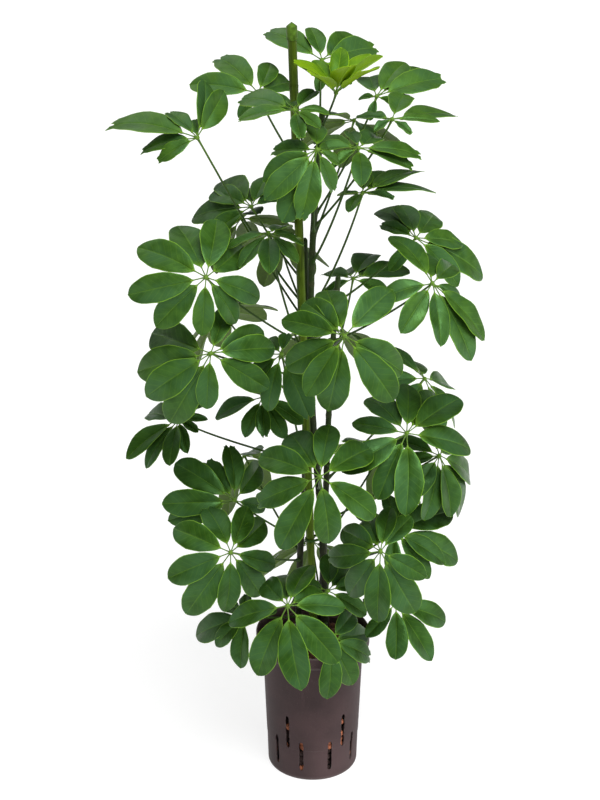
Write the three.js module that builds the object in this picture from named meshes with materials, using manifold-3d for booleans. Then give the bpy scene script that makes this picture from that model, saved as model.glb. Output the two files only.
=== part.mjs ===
// A potted umbrella plant (a dwarf schefflera) in a slotted growing pot, tied to a green stake.
// Millimetres, +Z up; the pot's axis is the Z axis and the pot stands on z = 0, its front towards -Y.
import * as THREE from "three";
import { mergeVertices } from "three/addons/utils/BufferGeometryUtils.js";
import Module from "manifold-3d";

const wasm = await Module();
wasm.setup();

// Driving dimensions.
const SEAT = 0.3; // clearance between pieces that touch
const POT_HEIGHT = 196;
const POT_RIM_RADIUS = 75;
const POT_NECK_RADIUS = 66.5;
const POT_FOOT_RADIUS = 60;
const POT_WALL = 1.8;
const POT_FLOOR = 3;
const RIM_BAND_HEIGHT = 17;
const STEP_HEIGHT = 46; // the faint line where the body gets a little wider
const STEP_OUT = 0.5;
const POT_SIDES = 30;
const RIM_LIP = 1; // the bevels at the rim band's edges
const SLOT_WIDTH = 5.6;
const SLOT_CUT = 16; // how deep a slot's cutter reaches through the wall
const LOW_SLOTS = 10;
const HIGH_SLOTS = 5;
const LOW_SLOT_SPAN = [14, 59]; // heights of a slot's two ends
const HIGH_SLOT_SPAN = [46, 96];
const SLOT_PHASE = 3.5; // degrees from the front to the middle of a gap between low slots
const PEBBLE_LEVEL = 177;
const PEBBLE_COUNT = 36;
const PEBBLE_RADIUS = [9.5, 12.5];
const PEBBLE_SHAPE = [1.05, 0.95, 0.85];
const PEBBLE_LIFT = 2.5;
const FILLING_BEVEL = 4; // how far the filling's upper edge is bevelled
const STEM_CLEARANCE = 1.5; // between a stem and its hole in the filling
const STAKE_RADIUS = 5.4;
const ROUND_SIDES = 16; // the sides of the stake, its hole and its cap
const STAKE_FOOT = new THREE.Vector3(5.5, 0, 60);
const STAKE_TOP = new THREE.Vector3(-26.5, 0, 986);
const CAP_RADIUS = 6.4;
const CAP_SKIRT = 15.4;
const CAP_HEIGHT = 20.4;
const CAP_SHOULDER = [0.5, 0.6]; // the bevel above the skirt: inwards and upwards
const STEM_DEPTH = 120; // height of the stems' lower ends, down among the pebbles
const STEM_SIDES = 7;
const STEM_STEPS = 12;
const PETIOLE_RADIUS = 1.7;
const PETIOLE_SIDES = 3;
const PETIOLE_STEPS = 5;
const PETIOLE_SPREAD = 0.06; // how far it bows away from its stem, as a share of its span
const PETIOLE_ENTRY = 0.1; // how far it bows behind the hub, as a share of its span
const PETIOLE_GAP = 0.35; // between a petiole's foot and its stem
const HUB_RING = 6; // from the hub's middle to where a leaflet's stalk starts
const HUB_RISE = 2.2;
const HUB_DEPTH = 3.5;
const STALK_SIZES = [0.95, 1.5]; // half the width of a leaflet's stalk at the hub and at the blade
const STALK_KEEL = 1.6; // how deep the stalk is, as a share of that half
const LEAF_REACH = 94; // from the hub's middle to a leaflet's tip
const LEAFLET_STALK = 18.5;
const LEAFLET_WIDTH = 32;
const BLADE_THICKNESS = 0.9;
const BLADE_CORNERS = [[0.36, 0.86], [0.72, 0.92]]; // along the blade and across it, as shares
const BLADE_MIDDLE = 0.52; // where along the blade the fold is deepest
const BLADE_ARCH = 0.16; // how far the tip bends back, as a share of the blade's length
const BLADE_FOLD = 1.6; // how far the midrib lies below the edges
const LAYER_LEAN = 4; // neighbours lean back by this more and less, in degrees, so that they lie in layers
const OUTER_GAIN = 0.1; // leaflets pointing away from the stem are longer by this share
const TIE_HEIGHTS = [330, 560];
const TIE_THICKNESS = 1.2;
const TIE_WIDTH = 4;
const TIE_SIDES = 12;
const TIE_GAP = 0.55; // between a tie and what it holds

// Colours and roughness of the materials.
const FINISHES = {
  pot: [0x4f4241, 0.75],
  pebbles: [0x5c3b36, 0.9],
  stake: [0x45590f, 0.45],
  cap: [0x557a2c, 0.5],
  stem: [0x3c3a20, 0.8],
  tie: [0x2f4a1c, 0.6],
  leaf: [0x3f7038, 0.5],
  youngLeaf: [0x86a800, 0.5],
};

// Each stem's line from the pebbles up.
const STEMS = {
  main: {
    radius: 4.6,
    line: [
      [19, 9, STEM_DEPTH], [17, 8, 200], [11, 7, 350], [-1, 8, 500],
      [-3, 8, 690], [2, 6, 790], [9, 2, 885],
    ],
  },
  left: {
    radius: 4.2,
    line: [
      [-16, 20, STEM_DEPTH], [-19, 19, 200], [-17, 18, 290],
      [-11, 18, 400], [-9, 19, 560], [-11, 22, 725],
    ],
  },
  right: {
    radius: 4.2,
    line: [
      [12, 36, STEM_DEPTH], [12, 35, 200], [16, 32, 350],
      [20, 32, 500], [25, 34, 600], [30, 38, 672],
    ],
  },
};

// The compound leaves. hub: where the leaflets meet. turn and tilt: where the leaf looks, in degrees to the
// right of the front and up from level. droop: how far the leaflets lean back. clock: where each leaflet
// points, in degrees clockwise from the top of the leaf as it is looked at, with its share of the reach
// where that is not 1, and how far it is turned about its own length where that is not 0. foot: the height
// where its petiole leaves the stem. reach: from the hub to the tips, where that is not LEAF_REACH.
// young: soft and lime green.
const LEAVES = [
  {
    name: "leaf_top_lime", young: true,
    stem: "main", foot: 868, hub: [24, -30, 917],
    turn: 0, tilt: 84, droop: -44, reach: 66,
    clock: [10, 50, 92, 130, 168, 208, 250, 290, 332],
  },
  {
    name: "leaf_top_behind",
    stem: "main", foot: 850, hub: [9, 60, 936],
    turn: 15, tilt: 40, droop: 18,
    clock: [[2, 0.6], [48, 0.9], [68, 0.92], [114, 0.55], [190, 0.45], 325],
  },
  {
    name: "leaf_crown_left",
    stem: "left", foot: 640, hub: [-136, -20, 862],
    turn: -15, tilt: 45, droop: 4, reach: 100,
    clock: [
      [1, 0.86, 60], [14, 0.87, 45], [236, 0.5], [264, 0.7, 12], [285, 1.13, 24],
      [314, 0.68, 24], [338, 0.4],
    ],
  },
  {
    name: "leaf_crown_left_inner",
    stem: "main", foot: 790, hub: [-67, 50, 899],
    turn: 15, tilt: 40, droop: 20,
    clock: [[31, 0.73], [58, 0.8], [108, 0.6], [230, 0.4], [297, 0.86], [341, 0.95]],
  },
  {
    name: "leaf_by_stake",
    stem: "main", foot: 800, hub: [-23, -74, 907],
    turn: -10, tilt: 68, droop: 2, reach: 80,
    clock: [[20, 0.74], [74, 0.53], [128, 0.52], [164, 0.51], [259, 0.79], [303, 1.18], [345, 0.6]],
  },
  {
    name: "leaf_front_top",
    stem: "main", foot: 740, hub: [2, -115, 872],
    turn: 25, tilt: 45, droop: 28,
    clock: [
      [24, 0.9], [68, 0.45], [112, 0.42], [155, 0.55], [204, 0.79],
      [218, 0.88], [242, 0.8], [266, 0.72], [313, 0.7],
    ],
  },
  {
    name: "leaf_crown_front_right",
    stem: "main", foot: 700, hub: [49, -68, 862],
    turn: 20, tilt: 72, droop: 4, reach: 78,
    clock: [
      [8, 0.7], [44, 0.98], [100, 0.96], [115, 0.83], [195, 0.75],
      [248, 0.52], [290, 0.7], [325, 0.9],
    ],
  },
  {
    name: "leaf_crown_right_low",
    stem: "main", foot: 640, hub: [57, 0, 791],
    turn: 10, tilt: 84, droop: -4,
    clock: [[16, 0.6], [38, 1.05], [58, 1.05], [76, 1], [125, 0.4], [215, 0.5], [300, 0.4]],
  },
  {
    name: "leaf_crown_right_high",
    stem: "main", foot: 760, hub: [74, 52, 894.5],
    turn: -10, tilt: 50, droop: 16, reach: 84,
    clock: [[18, 0.9], [30, 1.15], [53, 1.09], [96, 0.36], [190, 0.4], [282, 0.35], [342, 1.19]],
  },
  {
    name: "leaf_crown_right",
    stem: "main", foot: 746, hub: [89.5, -12, 882],
    turn: 10, tilt: 72, droop: 3, reach: 82,
    clock: [[24, 0.98], [66, 1.19], [92, 0.65], [140, 0.35], [235, 0.4], [304, 0.66], [325, 0.75]],
  },
  {
    name: "leaf_upper_left_inner",
    stem: "left", foot: 568, hub: [-54, -52, 757.5],
    turn: 0, tilt: 84, droop: 14, reach: 78,
    clock: [
      20, [52, 0.75], [95, 0.6], [135, 0.7], [178, 0.85],
      [215, 0.7], [255, 0.6], [300, 0.75], 340,
    ],
  },
  {
    name: "leaf_upper_left_behind",
    stem: "left", foot: 670, hub: [-76, 30, 765],
    turn: -15, tilt: 45, droop: 20,
    clock: [[5, 0.7], [40, 0.7], [240, 0.7], [275, 1.04], [299, 0.82], [317, 1.08], [343, 0.8]],
  },
  {
    name: "leaf_left_upper",
    stem: "left", foot: 590, hub: [-124, -110, 722],
    turn: 15, tilt: 30, droop: 22,
    clock: [
      [22, 1.04], [56, 1.1], [108, 0.93], [141, 0.82], [189, 0.72],
      [235, 0.85], [265, 0.94], [312, 1.04], [352, 1.18],
    ],
  },
  {
    name: "leaf_left_middle",
    stem: "left", foot: 548, hub: [-120, -120, 633],
    turn: 0, tilt: 30, droop: 22,
    clock: [[17, 0.77], 61, 80, 120, [187, 0.7], [213, 1.08], 240, [263, 1.1], [295, 1.18]],
  },
  {
    name: "leaf_left_far",
    stem: "left", foot: 430, hub: [-171, 20, 490],
    turn: -40, tilt: 60, droop: 10, reach: 84,
    clock: [
      [10, 0.6], [50, 0.5], [95, 0.45], [135, 0.6], [156, 0.77],
      [194, 0.84], [216, 0.94], 276, [320, 0.8],
    ],
  },
  {
    name: "leaf_inner_left",
    stem: "left", foot: 440, hub: [-63, -35, 543],
    turn: -20, tilt: 60, droop: 20, reach: 78,
    clock: [[104, 0.8], [137, 0.74], [164, 0.63], [197, 0.64], [254, 0.88], [320, 0.6]],
  },
  {
    name: "leaf_inner_front",
    stem: "left", foot: 430, hub: [-39, -75, 615],
    turn: -10, tilt: 45, droop: 25, reach: 82,
    clock: [[0, 0.6], 150, [195, 0.8], [240, 0.8], [276, 0.85], [320, 0.7]],
  },
  {
    name: "leaf_front_middle",
    stem: "main", foot: 580, hub: [33, -170, 673],
    turn: 0, tilt: 30, droop: 25,
    clock: [[40, 1.06], [114, 0.95], 138, 192, [216, 0.88], [247, 0.96], 292, 318, [343, 1.18]],
  },
  {
    name: "leaf_right_upper",
    stem: "right", foot: 590, hub: [137, -80, 705],
    turn: 40, tilt: 50, droop: 12, reach: 88,
    clock: [
      [9, 1.18], 36, [68, 0.9], [118, 0.6], 146, [167, 1.08],
      [200, 0.82], [240, 0.82], [288, 0.8],
    ],
  },
  {
    name: "leaf_right_behind",
    stem: "right", foot: 640, hub: [125, 40, 723],
    turn: 15, tilt: 50, droop: 22,
    clock: [[4, 0.89], 40, [86, 0.78], [102, 1.18], [132, 0.82], [230, 0.6], [318, 0.65], [350, 1.15]],
  },
  {
    name: "leaf_right_inner",
    stem: "right", foot: 560, hub: [49, 60, 664],
    turn: -10, tilt: 60, droop: 22, reach: 84,
    clock: [8, 28, 50, [90, 0.6], [250, 0.6], [310, 0.86], [338, 1.18]],
  },
  {
    name: "leaf_front_low",
    stem: "main", foot: 400, hub: [6, -180, 504],
    turn: 0, tilt: 40, droop: 25,
    clock: [8, [50, 1.19], [118, 0.88], [168, 0.85], 212, 256, [300, 1.06], [334, 1.19]],
  },
  {
    name: "leaf_right_middle",
    stem: "right", foot: 420, hub: [111.5, -82, 515.5],
    turn: 15, tilt: 50, droop: 12,
    clock: [18, [43, 1.19], [58, 1.13], [98, 1.02], 188, [216, 0.9], 248, [300, 0.85], [346, 1.18]],
  },
  {
    name: "leaf_right_middle_behind",
    stem: "right", foot: 340, hub: [160, 6, 446],
    turn: 45, tilt: 40, droop: 22,
    clock: [
      [30, 0.8], [75, 0.8], [120, 0.95], [150, 1.08], [178, 0.85],
      [206, 0.9], [240, 0.8], [290, 0.6], [340, 0.8],
    ],
  },
  {
    name: "leaf_left_low_behind",
    stem: "left", foot: 320, hub: [-99, -30, 400],
    turn: 25, tilt: 22, droop: 22,
    clock: [[16, 0.87], 58, [112, 0.7], [262, 0.9], [277, 0.91], [317, 0.95], [342, 0.75]],
  },
  {
    name: "leaf_left_low",
    stem: "left", foot: 290, hub: [-101, -120, 374],
    turn: 15, tilt: 30, droop: 25,
    clock: [
      [32, 0.88], 60, [110, 0.85], [144, 0.93], [184, 0.85],
      [220, 1.06], [256, 0.87], [304, 0.92], [352, 1.01],
    ],
  },
  {
    name: "leaf_front_bottom",
    stem: "left", foot: 256, hub: [-32, -188, 339],
    turn: -15, tilt: 50, droop: 25,
    clock: [[4, 0.95], [40, 0.7], [71, 0.8], [124, 0.95], 166, 206, 260, [310, 0.95], [336, 1.19]],
  },
  {
    name: "leaf_left_bottom",
    stem: "left", foot: 205, hub: [-86, -66, 255],
    turn: -20, tilt: 45, droop: 20, reach: 92,
    clock: [[60, 0.5], [185, 0.72], [222, 0.62], 250, [292, 0.6], [335, 0.5]],
  },
  {
    name: "leaf_right_bottom_small",
    stem: "main", foot: 202, hub: [22, -87, 232],
    turn: 15, tilt: 40, droop: 25, reach: 74,
    clock: [52, [84, 1.12], 112, 152, 184, [290, 0.9], 324],
  },
  {
    name: "leaf_right_low",
    stem: "main", foot: 290, hub: [80, -130, 381],
    turn: -15, tilt: 30, droop: 25,
    clock: [[0, 0.75], [28, 0.74], [112, 0.67], 148, 180, 216, 256, 292, [324, 0.9]],
  },
  {
    name: "leaf_right_low_behind",
    stem: "right", foot: 260, hub: [104, -20, 352],
    turn: 20, tilt: 50, droop: 14, reach: 98,
    clock: [
      [12, 0.7], [38, 0.75], [74, 1.05], [112, 1.04], [126, 0.78],
      [146, 0.75], [200, 0.6], [320, 0.7],
    ],
  },
  {
    name: "leaf_right_bottom",
    stem: "right", foot: 215, hub: [106, -45, 262],
    turn: 25, tilt: 50, droop: 15, reach: 86,
    clock: [[40, 0.6], [85, 0.6], [116, 0.9], 156, [196, 0.8], [236, 0.68], [300, 0.6]],
  },
  {
    name: "leaf_inner_low",
    stem: "left", foot: 218, hub: [18, -82, 300],
    turn: 0, tilt: 50, droop: 22, reach: 76,
    clock: [4, 34, [66, 0.9], [110, 0.8], [250, 0.6], [300, 0.8]],
  },
  {
    name: "leaf_back_top",
    stem: "main", foot: 730, hub: [50, 120, 850],
    turn: 160, tilt: 55, droop: 15, reach: 80,
  },
  {
    name: "leaf_back_crown_left",
    stem: "left", foot: 620, hub: [-92, 118, 725],
    turn: -140, tilt: 50, droop: 14, reach: 80,
  },
  {
    name: "leaf_back_upper",
    stem: "left", foot: 630, hub: [-42, 100, 700],
    turn: 175, tilt: 50, droop: 14, reach: 76,
  },
  {
    name: "leaf_back_left",
    stem: "left", foot: 500, hub: [-120, 95, 610],
    turn: -125, tilt: 45, droop: 16, reach: 82,
  },
  {
    name: "leaf_back_right",
    stem: "right", foot: 400, hub: [146, 98, 514],
    turn: 70, tilt: 50, droop: 12, reach: 84,
  },
  {
    name: "leaf_back_middle",
    stem: "right", foot: 450, hub: [30, 160, 560],
    turn: 170, tilt: 45, droop: 16, reach: 88,
  },
  {
    name: "leaf_back_low_left",
    stem: "left", foot: 300, hub: [-92, 118, 395],
    turn: -145, tilt: 42, droop: 18, reach: 86,
  },
  {
    name: "leaf_back_low_right",
    stem: "right", foot: 310, hub: [95, 125, 400],
    turn: 145, tilt: 42, droop: 18, reach: 88,
  },
  {
    name: "leaf_back_bottom",
    stem: "right", foot: 214, hub: [0, 122, 264],
    turn: 180, tilt: 40, droop: 22, reach: 88,
  },
];
const BACK_CLOCK = [8, 58, 108, 158, 208, 260, 310]; // the leaflets of the leaves behind

// A closed geometry as a manifold-3d solid.
function solid(geometry) {
  const bare = geometry.clone();
  bare.deleteAttribute("normal");
  bare.deleteAttribute("uv");
  const merged = mergeVertices(bare, 1e-4);
  return new wasm.Manifold(
    new wasm.Mesh({
      numProp: 3,
      vertProperties: merged.attributes.position.array,
      triVerts: new Uint32Array(merged.index.array),
    }),
  );
}

// A solid as a geometry with flat faces.
function geometryOf(made) {
  const mesh = made.getMesh();
  const places = new Float32Array(mesh.triVerts.length * 3);
  mesh.triVerts.forEach((vertex, i) => {
    const start = vertex * mesh.numProp;
    places.set(mesh.vertProperties.subarray(start, start + 3), i * 3);
  });
  const geometry = new THREE.BufferGeometry();
  geometry.setAttribute("position", new THREE.BufferAttribute(places, 3));
  geometry.computeVertexNormals();
  return geometry;
}

// The largest body of a solid, without scraps or sealed hollows.
const mainBody = (made) => made.decompose().sort((a, b) => b.volume() - a.volume())[0];

function node(name, made, [colour, roughness]) {
  const material = new THREE.MeshStandardMaterial({ color: colour, roughness, metalness: 0 });
  const mesh = new THREE.Mesh(geometryOf(made), material);
  mesh.name = name;
  return mesh;
}

const vector = (place) => new THREE.Vector3(...place);

// The same numbers every time: a value from 0 to 1 for a seed.
function chance(seed) {
  const wave = Math.sin(seed * 12.9898 + 4.1) * 43758.5453;
  return wave - Math.floor(wave);
}

// A lathe about the Z axis from points of radius and height.
function lathe(points, sides) {
  const profile = points.map(([radius, height]) => new THREE.Vector2(radius, height));
  return new THREE.LatheGeometry(profile, sides).rotateX(Math.PI / 2);
}

// A tube with flat ends along a curve.
function tube(curve, radius, sides, steps) {
  const shape = new THREE.Shape();
  for (let i = 0; i < sides; i += 1) {
    const angle = (i / sides) * 2 * Math.PI;
    const place = [radius * Math.cos(angle), radius * Math.sin(angle)];
    if (i === 0) shape.moveTo(...place);
    else shape.lineTo(...place);
  }
  shape.closePath();
  return new THREE.ExtrudeGeometry(shape, { steps, extrudePath: curve, bevelEnabled: false });
}

// A straight round bar between two places.
function bar(from, to, radius, sides) {
  const along = to.clone().sub(from);
  const geometry = new THREE.CylinderGeometry(radius, radius, along.length(), sides);
  const up = new THREE.Vector3(0, 1, 0);
  geometry.applyQuaternion(new THREE.Quaternion().setFromUnitVectors(up, along.clone().normalize()));
  const middle = from.clone().add(to).multiplyScalar(0.5);
  return geometry.translate(middle.x, middle.y, middle.z);
}

const stemCurve = (stem) => new THREE.CatmullRomCurve3(stem.line.map(vector));
const stakeAt = (height) =>
  STAKE_FOOT.clone().lerp(STAKE_TOP, (height - STAKE_FOOT.z) / (STAKE_TOP.z - STAKE_FOOT.z));

// The place on a stem at a height.
function onStem(stem, height) {
  const curve = stemCurve(stem);
  let low = 0;
  let high = 1;
  for (let i = 0; i < 20; i += 1) {
    const middle = (low + high) / 2;
    if (curve.getPoint(middle).z < height) low = middle;
    else high = middle;
  }
  return curve.getPoint(low);
}

function makePot() {
  const bandFoot = POT_HEIGHT - RIM_BAND_HEIGHT;
  const stepRadius = POT_FOOT_RADIUS + ((POT_NECK_RADIUS - POT_FOOT_RADIUS) * STEP_HEIGHT) / bandFoot;
  const body = solid(
    lathe(
      [
        [0, 0],
        [POT_FOOT_RADIUS - RIM_LIP, 0],
        [POT_FOOT_RADIUS, RIM_LIP],
        [stepRadius - STEP_OUT, STEP_HEIGHT - STEP_OUT],
        [stepRadius, STEP_HEIGHT],
        [POT_NECK_RADIUS, bandFoot],
        [POT_RIM_RADIUS - RIM_LIP, bandFoot],
        [POT_RIM_RADIUS, bandFoot + RIM_LIP],
        [POT_RIM_RADIUS, POT_HEIGHT - RIM_LIP],
        [POT_RIM_RADIUS - RIM_LIP / 2, POT_HEIGHT],
        [POT_RIM_RADIUS - POT_WALL, POT_HEIGHT],
        [POT_RIM_RADIUS - POT_WALL, bandFoot + POT_WALL],
        [POT_NECK_RADIUS - POT_WALL, bandFoot + POT_WALL],
        [POT_FOOT_RADIUS - POT_WALL, POT_FLOOR],
        [0, POT_FLOOR],
      ],
      POT_SIDES,
    ),
  );
  const cuts = [];
  const cutSlot = (degrees, span) => {
    const slot = new THREE.BoxGeometry(SLOT_WIDTH, SLOT_CUT, span[1] - span[0]);
    slot.translate(0, -POT_FOOT_RADIUS, (span[0] + span[1]) / 2);
    cuts.push(solid(slot.rotateZ(THREE.MathUtils.degToRad(degrees))));
  };
  const cutRow = (count, span) => {
    for (let i = 0; i < count; i += 1) cutSlot(SLOT_PHASE + (360 / count) * (i + 0.5), span);
  };
  cutRow(LOW_SLOTS, LOW_SLOT_SPAN);
  cutRow(HIGH_SLOTS, HIGH_SLOT_SPAN);
  return node("growing_pot", body.subtract(wasm.Manifold.union(cuts)), FINISHES.pot);
}

// The filling of clay pebbles, with plain holes for the stems and the stake.
function makePebbles() {
  const wallAt = (height) => {
    const rise = (height - POT_FLOOR) / (POT_HEIGHT - RIM_BAND_HEIGHT + POT_WALL - POT_FLOOR);
    return POT_FOOT_RADIUS - POT_WALL + (POT_NECK_RADIUS - POT_FOOT_RADIUS) * rise - SEAT;
  };
  const floor = POT_FLOOR + SEAT;
  const shoulder = PEBBLE_LEVEL - FILLING_BEVEL;
  const parts = [
    solid(
      lathe(
        [
          [0, floor],
          [wallAt(floor) - SEAT, floor],
          [wallAt(shoulder) - SEAT, shoulder],
          [wallAt(PEBBLE_LEVEL) - FILLING_BEVEL, PEBBLE_LEVEL],
          [0, PEBBLE_LEVEL],
        ],
        POT_SIDES,
      ),
    ),
  ];
  const goldenTurn = Math.PI * (3 - Math.sqrt(5));
  for (let i = 0; i < PEBBLE_COUNT; i += 1) {
    const size = THREE.MathUtils.lerp(PEBBLE_RADIUS[0], PEBBLE_RADIUS[1], chance(i));
    const away = (wallAt(PEBBLE_LEVEL) - PEBBLE_RADIUS[1] - 1) * Math.sqrt((i + 0.5) / PEBBLE_COUNT);
    const pebble = new THREE.OctahedronGeometry(size, 0);
    pebble.scale(...PEBBLE_SHAPE);
    pebble.rotateX(chance(i + 200) * 3);
    pebble.rotateZ(chance(i + 300) * 3);
    const angle = goldenTurn * i;
    const height = PEBBLE_LEVEL + PEBBLE_LIFT * chance(i + 100);
    pebble.translate(away * Math.cos(angle), away * Math.sin(angle), height);
    parts.push(solid(pebble));
  }
  const holes = Object.values(STEMS).map((stem) => {
    const foot = vector(stem.line[0]).setZ(STEM_DEPTH - SEAT);
    return solid(bar(foot, onStem(stem, POT_HEIGHT), stem.radius + STEM_CLEARANCE, ROUND_SIDES));
  });
  const stakeFoot = stakeAt(STAKE_FOOT.z - SEAT);
  holes.push(solid(bar(stakeFoot, stakeAt(POT_HEIGHT), STAKE_RADIUS + SEAT, ROUND_SIDES)));
  const filling = wasm.Manifold.union(parts).subtract(wasm.Manifold.union(holes));
  return node("clay_pebbles", mainBody(filling), FINISHES.pebbles);
}

function makeStake() {
  const stake = solid(bar(STAKE_FOOT, STAKE_TOP, STAKE_RADIUS, ROUND_SIDES));
  return node("stake", stake, FINISHES.stake);
}

// The pointed cap pushed over the stake's top.
function makeCap() {
  const bore = STAKE_RADIUS + SEAT;
  const roof = CAP_SKIRT + SEAT;
  const cap = lathe(
    [
      [0, roof],
      [bore, roof],
      [bore, 0],
      [CAP_RADIUS, 0],
      [CAP_RADIUS, CAP_SKIRT],
      [CAP_RADIUS - CAP_SHOULDER[0], CAP_SKIRT + CAP_SHOULDER[1]],
      [0, CAP_HEIGHT],
    ],
    ROUND_SIDES,
  );
  const lean = new THREE.Quaternion().setFromUnitVectors(
    new THREE.Vector3(0, 0, 1),
    STAKE_TOP.clone().sub(STAKE_FOOT).normalize(),
  );
  cap.applyQuaternion(lean);
  const seat = stakeAt(STAKE_TOP.z - CAP_SKIRT);
  return node("stake_cap", solid(cap.translate(seat.x, seat.y, seat.z)), FINISHES.cap);
}

// A stem's solid, thicker all round by grow.
const stemSolid = (stem, grow = 0) =>
  solid(tube(stemCurve(stem), stem.radius + grow, STEM_SIDES, STEM_STEPS));

// A band round the stake and the main stem.
function makeTie(height, index) {
  const stake = stakeAt(height);
  const stem = onStem(STEMS.main, height);
  const loop = (grow) => {
    const ends = [
      [stake, STAKE_RADIUS + grow],
      [stem, STEMS.main.radius + grow],
    ];
    const rounds = ends.map(([place, radius]) => {
      const round = new THREE.CylinderGeometry(radius, radius, TIE_WIDTH, TIE_SIDES);
      return solid(round.rotateX(Math.PI / 2).translate(place.x, place.y, height));
    });
    return wasm.Manifold.hull(rounds);
  };
  const inside = loop(TIE_GAP).scale([1, 1, 3]).translate([0, 0, -2 * height]);
  const band = loop(TIE_GAP + TIE_THICKNESS).subtract(inside);
  return node("plant_tie_" + (index + 1), band, FINISHES.tie);
}

// Where a leaf looks, and the right and up of its face.
function faceOf(leaf) {
  const turn = THREE.MathUtils.degToRad(leaf.turn);
  const tilt = THREE.MathUtils.degToRad(leaf.tilt);
  const out = new THREE.Vector3(
    Math.sin(turn) * Math.cos(tilt),
    -Math.cos(turn) * Math.cos(tilt),
    Math.sin(tilt),
  );
  const right = new THREE.Vector3(Math.cos(turn), Math.sin(turn), 0);
  const up = out.clone().cross(right);
  return { out, right, up };
}

// A closed geometry from places and triangles of their indexes.
function closed(places, triangles) {
  const geometry = new THREE.BufferGeometry();
  const numbers = places.flatMap((place) => [place.x, place.y, place.z]);
  geometry.setAttribute("position", new THREE.Float32BufferAttribute(numbers, 3));
  geometry.setIndex(triangles.flat());
  return geometry;
}

// The places of one leaflet with its stalk: a folded blade that bends back towards its tip. The first three
// are the stalk's ring at the hub, the next three its ring at the blade.
function leafletPlaces(hub, face, clock, droop, reach, roll) {
  const angle = THREE.MathUtils.degToRad(clock);
  const lean = THREE.MathUtils.degToRad(droop);
  const along = face.up.clone().multiplyScalar(Math.cos(angle) * Math.cos(lean));
  along.addScaledVector(face.right, Math.sin(angle) * Math.cos(lean));
  along.addScaledVector(face.out, -Math.sin(lean));
  const top = face.out.clone().addScaledVector(along, -face.out.dot(along)).normalize();
  top.applyAxisAngle(along, THREE.MathUtils.degToRad(roll));
  const side = along.clone().cross(top);
  const stalk = LEAFLET_STALK * (reach / LEAF_REACH);
  const blade = reach - stalk;
  const half = (LEAFLET_WIDTH / 2) * (blade / (LEAF_REACH - LEAFLET_STALK));
  const at = (share, across, lift) => {
    const place = hub.clone().addScaledVector(along, stalk + blade * share);
    const bend = -BLADE_ARCH * blade * share * share;
    return place.addScaledVector(side, across * half).addScaledVector(top, bend + lift);
  };
  const ring = (distance, size) => {
    const middle = hub.clone().addScaledVector(along, distance).addScaledVector(top, size / 2);
    return [
      middle.clone().addScaledVector(side, size),
      middle.clone().addScaledVector(side, -size),
      middle.clone().addScaledVector(top, -STALK_KEEL * size),
    ];
  };
  const rise = BLADE_THICKNESS / 2;
  const [near, far] = BLADE_CORNERS;
  const sheet = (lift) => [
    at(near[0], near[1], lift),
    at(far[0], far[1], lift),
    at(far[0], -far[1], lift),
    at(near[0], -near[1], lift),
    at(BLADE_MIDDLE, 0, lift - BLADE_FOLD),
  ];
  const rings = [...ring(HUB_RING, STALK_SIZES[0]), ...ring(stalk, STALK_SIZES[1])];
  return [...rings, ...sheet(rise), ...sheet(-rise), at(1, 0, 0)];
}

// The triangles of a leaflet's places, without the end at the hub.
const LEAFLET_TRIANGLES = [
  // the stalk's sides
  [0, 3, 4], [0, 4, 1],
  [1, 4, 5], [1, 5, 2],
  [2, 5, 3], [2, 3, 0],
  // the upper face about its middle
  [3, 10, 4], [3, 6, 10], [6, 7, 10], [7, 16, 10], [16, 8, 10], [8, 9, 10], [9, 4, 10],
  // the lower face about its middle
  [5, 15, 11], [11, 15, 12], [12, 15, 16], [16, 15, 13], [13, 15, 14], [14, 15, 5],
  // the edges
  [3, 5, 6], [5, 11, 6], [6, 11, 7], [11, 12, 7], [7, 12, 16],
  [16, 13, 8], [8, 13, 9], [13, 14, 9], [9, 14, 4], [14, 5, 4],
];

// The leaflets in order round the hub, with the hub's faces between their stalks.
function makeWhorl(leaflets, face, middle) {
  const places = leaflets.flat();
  const triangles = [];
  const crown = places.push(middle.clone().addScaledVector(face.out, HUB_RISE)) - 1;
  const root = places.push(middle.clone().addScaledVector(face.out, -HUB_DEPTH)) - 1;
  const size = leaflets[0].length;
  leaflets.forEach((leaflet, i) => {
    const start = i * size;
    const next = ((i + 1) % leaflets.length) * size;
    LEAFLET_TRIANGLES.forEach((corners) => triangles.push(corners.map((corner) => corner + start)));
    triangles.push([start, start + 1, crown], [start, crown, next + 1]);
    triangles.push([start, next + 1, next + 2], [start, next + 2, start + 2]);
    triangles.push([start + 2, next + 2, root]);
  });
  return solid(closed(places, triangles));
}

// The room that each stem keeps from the petioles on it.
const stemRooms = {};
for (const [name, stem] of Object.entries(STEMS)) stemRooms[name] = stemSolid(stem, PETIOLE_GAP);

// Where each leaflet of a leaf points, with its share of the leaf's reach, in order round the hub.
function leafletOrder(leaf, index) {
  const clocks = leaf.clock ?? BACK_CLOCK.map((clock, i) => clock + 10 * chance(index * 10 + i));
  return clocks.map((entry) => [entry].flat()).sort((a, b) => a[0] - b[0]);
}

// The petiole's line from the stem to the hub.
function petioleCurve(foot, middle, level, out, span) {
  return new THREE.CubicBezierCurve3(
    foot,
    foot.clone().lerp(middle, 0.25).addScaledVector(level, span * PETIOLE_SPREAD),
    middle.clone().lerp(foot, 0.15).addScaledVector(out, -span * PETIOLE_ENTRY),
    middle,
  );
}

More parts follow.
